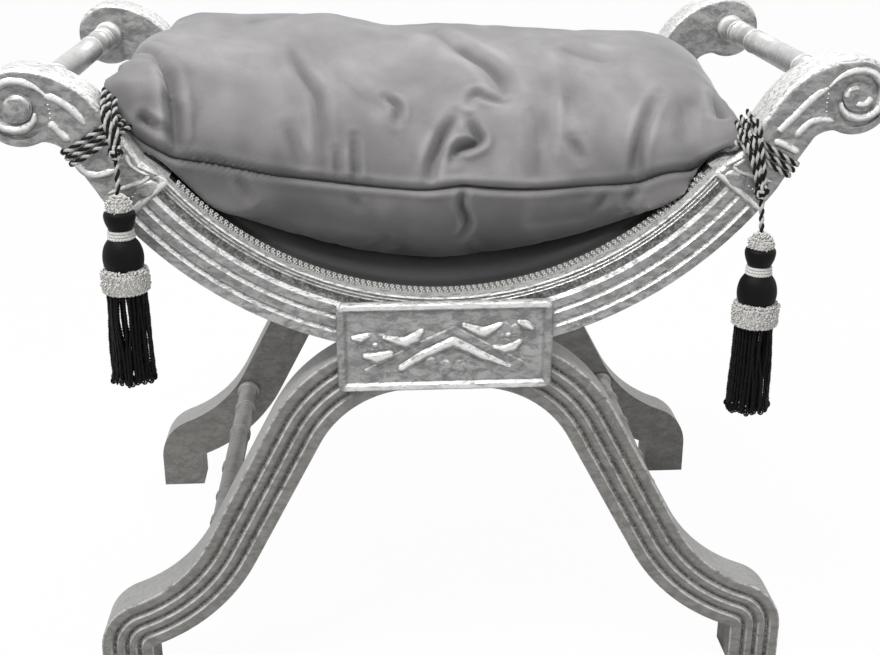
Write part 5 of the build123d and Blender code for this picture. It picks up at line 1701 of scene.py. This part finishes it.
class STOOL_OT_stage(bpy.types.Operator):
    """Lay the pale floor, set the lamps and aim the camera as the photograph was"""

    bl_idname = "stool.stage"
    bl_label = "Stage"

    def execute(self, context):
        scene = context.scene
        scene.view_settings.view_transform = "Standard"
        corners = [(x * FLOOR, y * FLOOR, 0) for x, y in ((-1, -1), (1, -1), (1, 1), (-1, 1))]
        floor = new_object("floor", corners, [(0, 1, 2, 3)], smooth=False)
        paper = Finish("floor_paper", 0.9)
        paper.shader.inputs["Base Color"].default_value = (0.86, 0.86, 0.86, 1)
        seen = paper.node("ShaderNodeLightPath")
        glow = paper.node("ShaderNodeEmission", values={"Color": (1, 1, 1, 1), "Strength": 1.0})
        both = paper.node("ShaderNodeMixShader", values={
            0: seen * 0.97, 1: Value(paper, paper.shader.outputs[0]), 2: glow})
        out = [n for n in paper.tree.nodes if n.type == "OUTPUT_MATERIAL"][0]
        paper.tree.links.new(both.socket, out.inputs[0])
        floor.data.materials.append(paper.material)
        self.sky(scene)
        for name, (at, size, power) in LAMPS.items():
            lamp = bpy.data.lights.new(name, "AREA")
            lamp.size, lamp.energy = size, power
            thing = bpy.data.objects.new(name, lamp)
            thing.location = at
            aim = Vector(LAMP_AIM) - Vector(at)
            thing.rotation_euler = aim.to_track_quat("-Z", "Y").to_euler()
            scene.collection.objects.link(thing)
        self.camera(scene)
        return {"FINISHED"}

    def sky(self, scene):
        world = bpy.data.worlds.new("studio")
        scene.world = world
        world.use_nodes = True
        tree = world.node_tree
        back = tree.nodes["Background"]
        path = tree.nodes.new("ShaderNodeLightPath")
        glossy = tree.nodes.new("ShaderNodeMath")
        clear = tree.nodes.new("ShaderNodeMath")
        level = tree.nodes.new("ShaderNodeMapRange")
        glossy.operation = clear.operation = "ADD"
        clear.use_clamp = True
        tree.links.new(path.outputs["Is Camera Ray"], glossy.inputs[0])
        tree.links.new(path.outputs["Is Glossy Ray"], glossy.inputs[1])
        tree.links.new(glossy.outputs[0], clear.inputs[0])
        tree.links.new(path.outputs["Is Transmission Ray"], clear.inputs[1])
        tree.links.new(clear.outputs[0], level.inputs["Value"])
        level.inputs["To Min"].default_value, level.inputs["To Max"].default_value = 0.34, 1.0
        tree.links.new(level.outputs[0], back.inputs["Strength"])
        back.inputs["Color"].default_value = (1, 1, 1, 1)

    def camera(self, scene):
        camera = bpy.data.cameras.new("photo_camera")
        camera.sensor_width = FILM_WIDTH
        camera.lens = CAMERA_FOCUS / PICTURE_WIDTH * FILM_WIDTH
        camera.clip_start = 0.05
        thing = bpy.data.objects.new("photo_camera", camera)
        yaw, pitch, roll = (math.radians(v) for v in CAMERA_TURN)
        ahead = Vector((math.sin(yaw) * math.cos(pitch), math.cos(yaw) * math.cos(pitch),
                        -math.sin(pitch)))
        right = Vector((math.cos(yaw), -math.sin(yaw), 0))
        down = ahead.cross(right)
        right, down = (right * math.cos(roll) + down * math.sin(roll),
                       down * math.cos(roll) - right * math.sin(roll))
        turn = Matrix((right, -down, -ahead)).transposed().to_4x4()
        thing.matrix_world = Matrix.Translation(CAMERA_PLACE) @ turn
        scene.collection.objects.link(thing)
        scene.camera = thing


OPERATORS = [STOOL_OT_stage, STOOL_OT_ties, STOOL_OT_tassels, STOOL_OT_frames, STOOL_OT_blocks,
             STOOL_OT_rails, STOOL_OT_seat, STOOL_OT_cushion]
GROUPS = {"stool_colours": StoolColours, "stool_carving": CarvingSizes,
          "stool_cushion": CushionSizes, "stool_ties": TieSizes}


class STOOL_PT_sidebar(bpy.types.Panel):
    """The stool's colours, sizes and steps"""

    bl_idname = "STOOL_PT_sidebar"
    bl_label = "Stool"
    bl_space_type = "VIEW_3D"
    bl_region_type = "UI"
    bl_category = "Stool"

    def draw(self, context):
        for key, group in GROUPS.items():
            box = self.layout.box()
            box.label(text=group.__doc__)
            for prop in group.__annotations__:
                box.prop(getattr(context.scene, key), prop)
        for operator in OPERATORS:
            self.layout.operator(operator.bl_idname)


def register():
    for group in (*GROUPS.values(), *OPERATORS, STOOL_PT_sidebar):
        bpy.utils.register_class(group)
    for key, group in GROUPS.items():
        setattr(bpy.types.Scene, key, bpy.props.PointerProperty(type=group))


def unregister():
    for key in GROUPS:
        delattr(bpy.types.Scene, key)
    for group in (STOOL_PT_sidebar, *reversed(OPERATORS), *reversed(list(GROUPS.values()))):
        bpy.utils.unregister_class(group)


def main():
    """Makes every piece."""
    register()
    for operator in OPERATORS:
        group, name = operator.bl_idname.split(".")
        getattr(getattr(bpy.ops, group), name)()


if __name__ == "__main__":
    main()
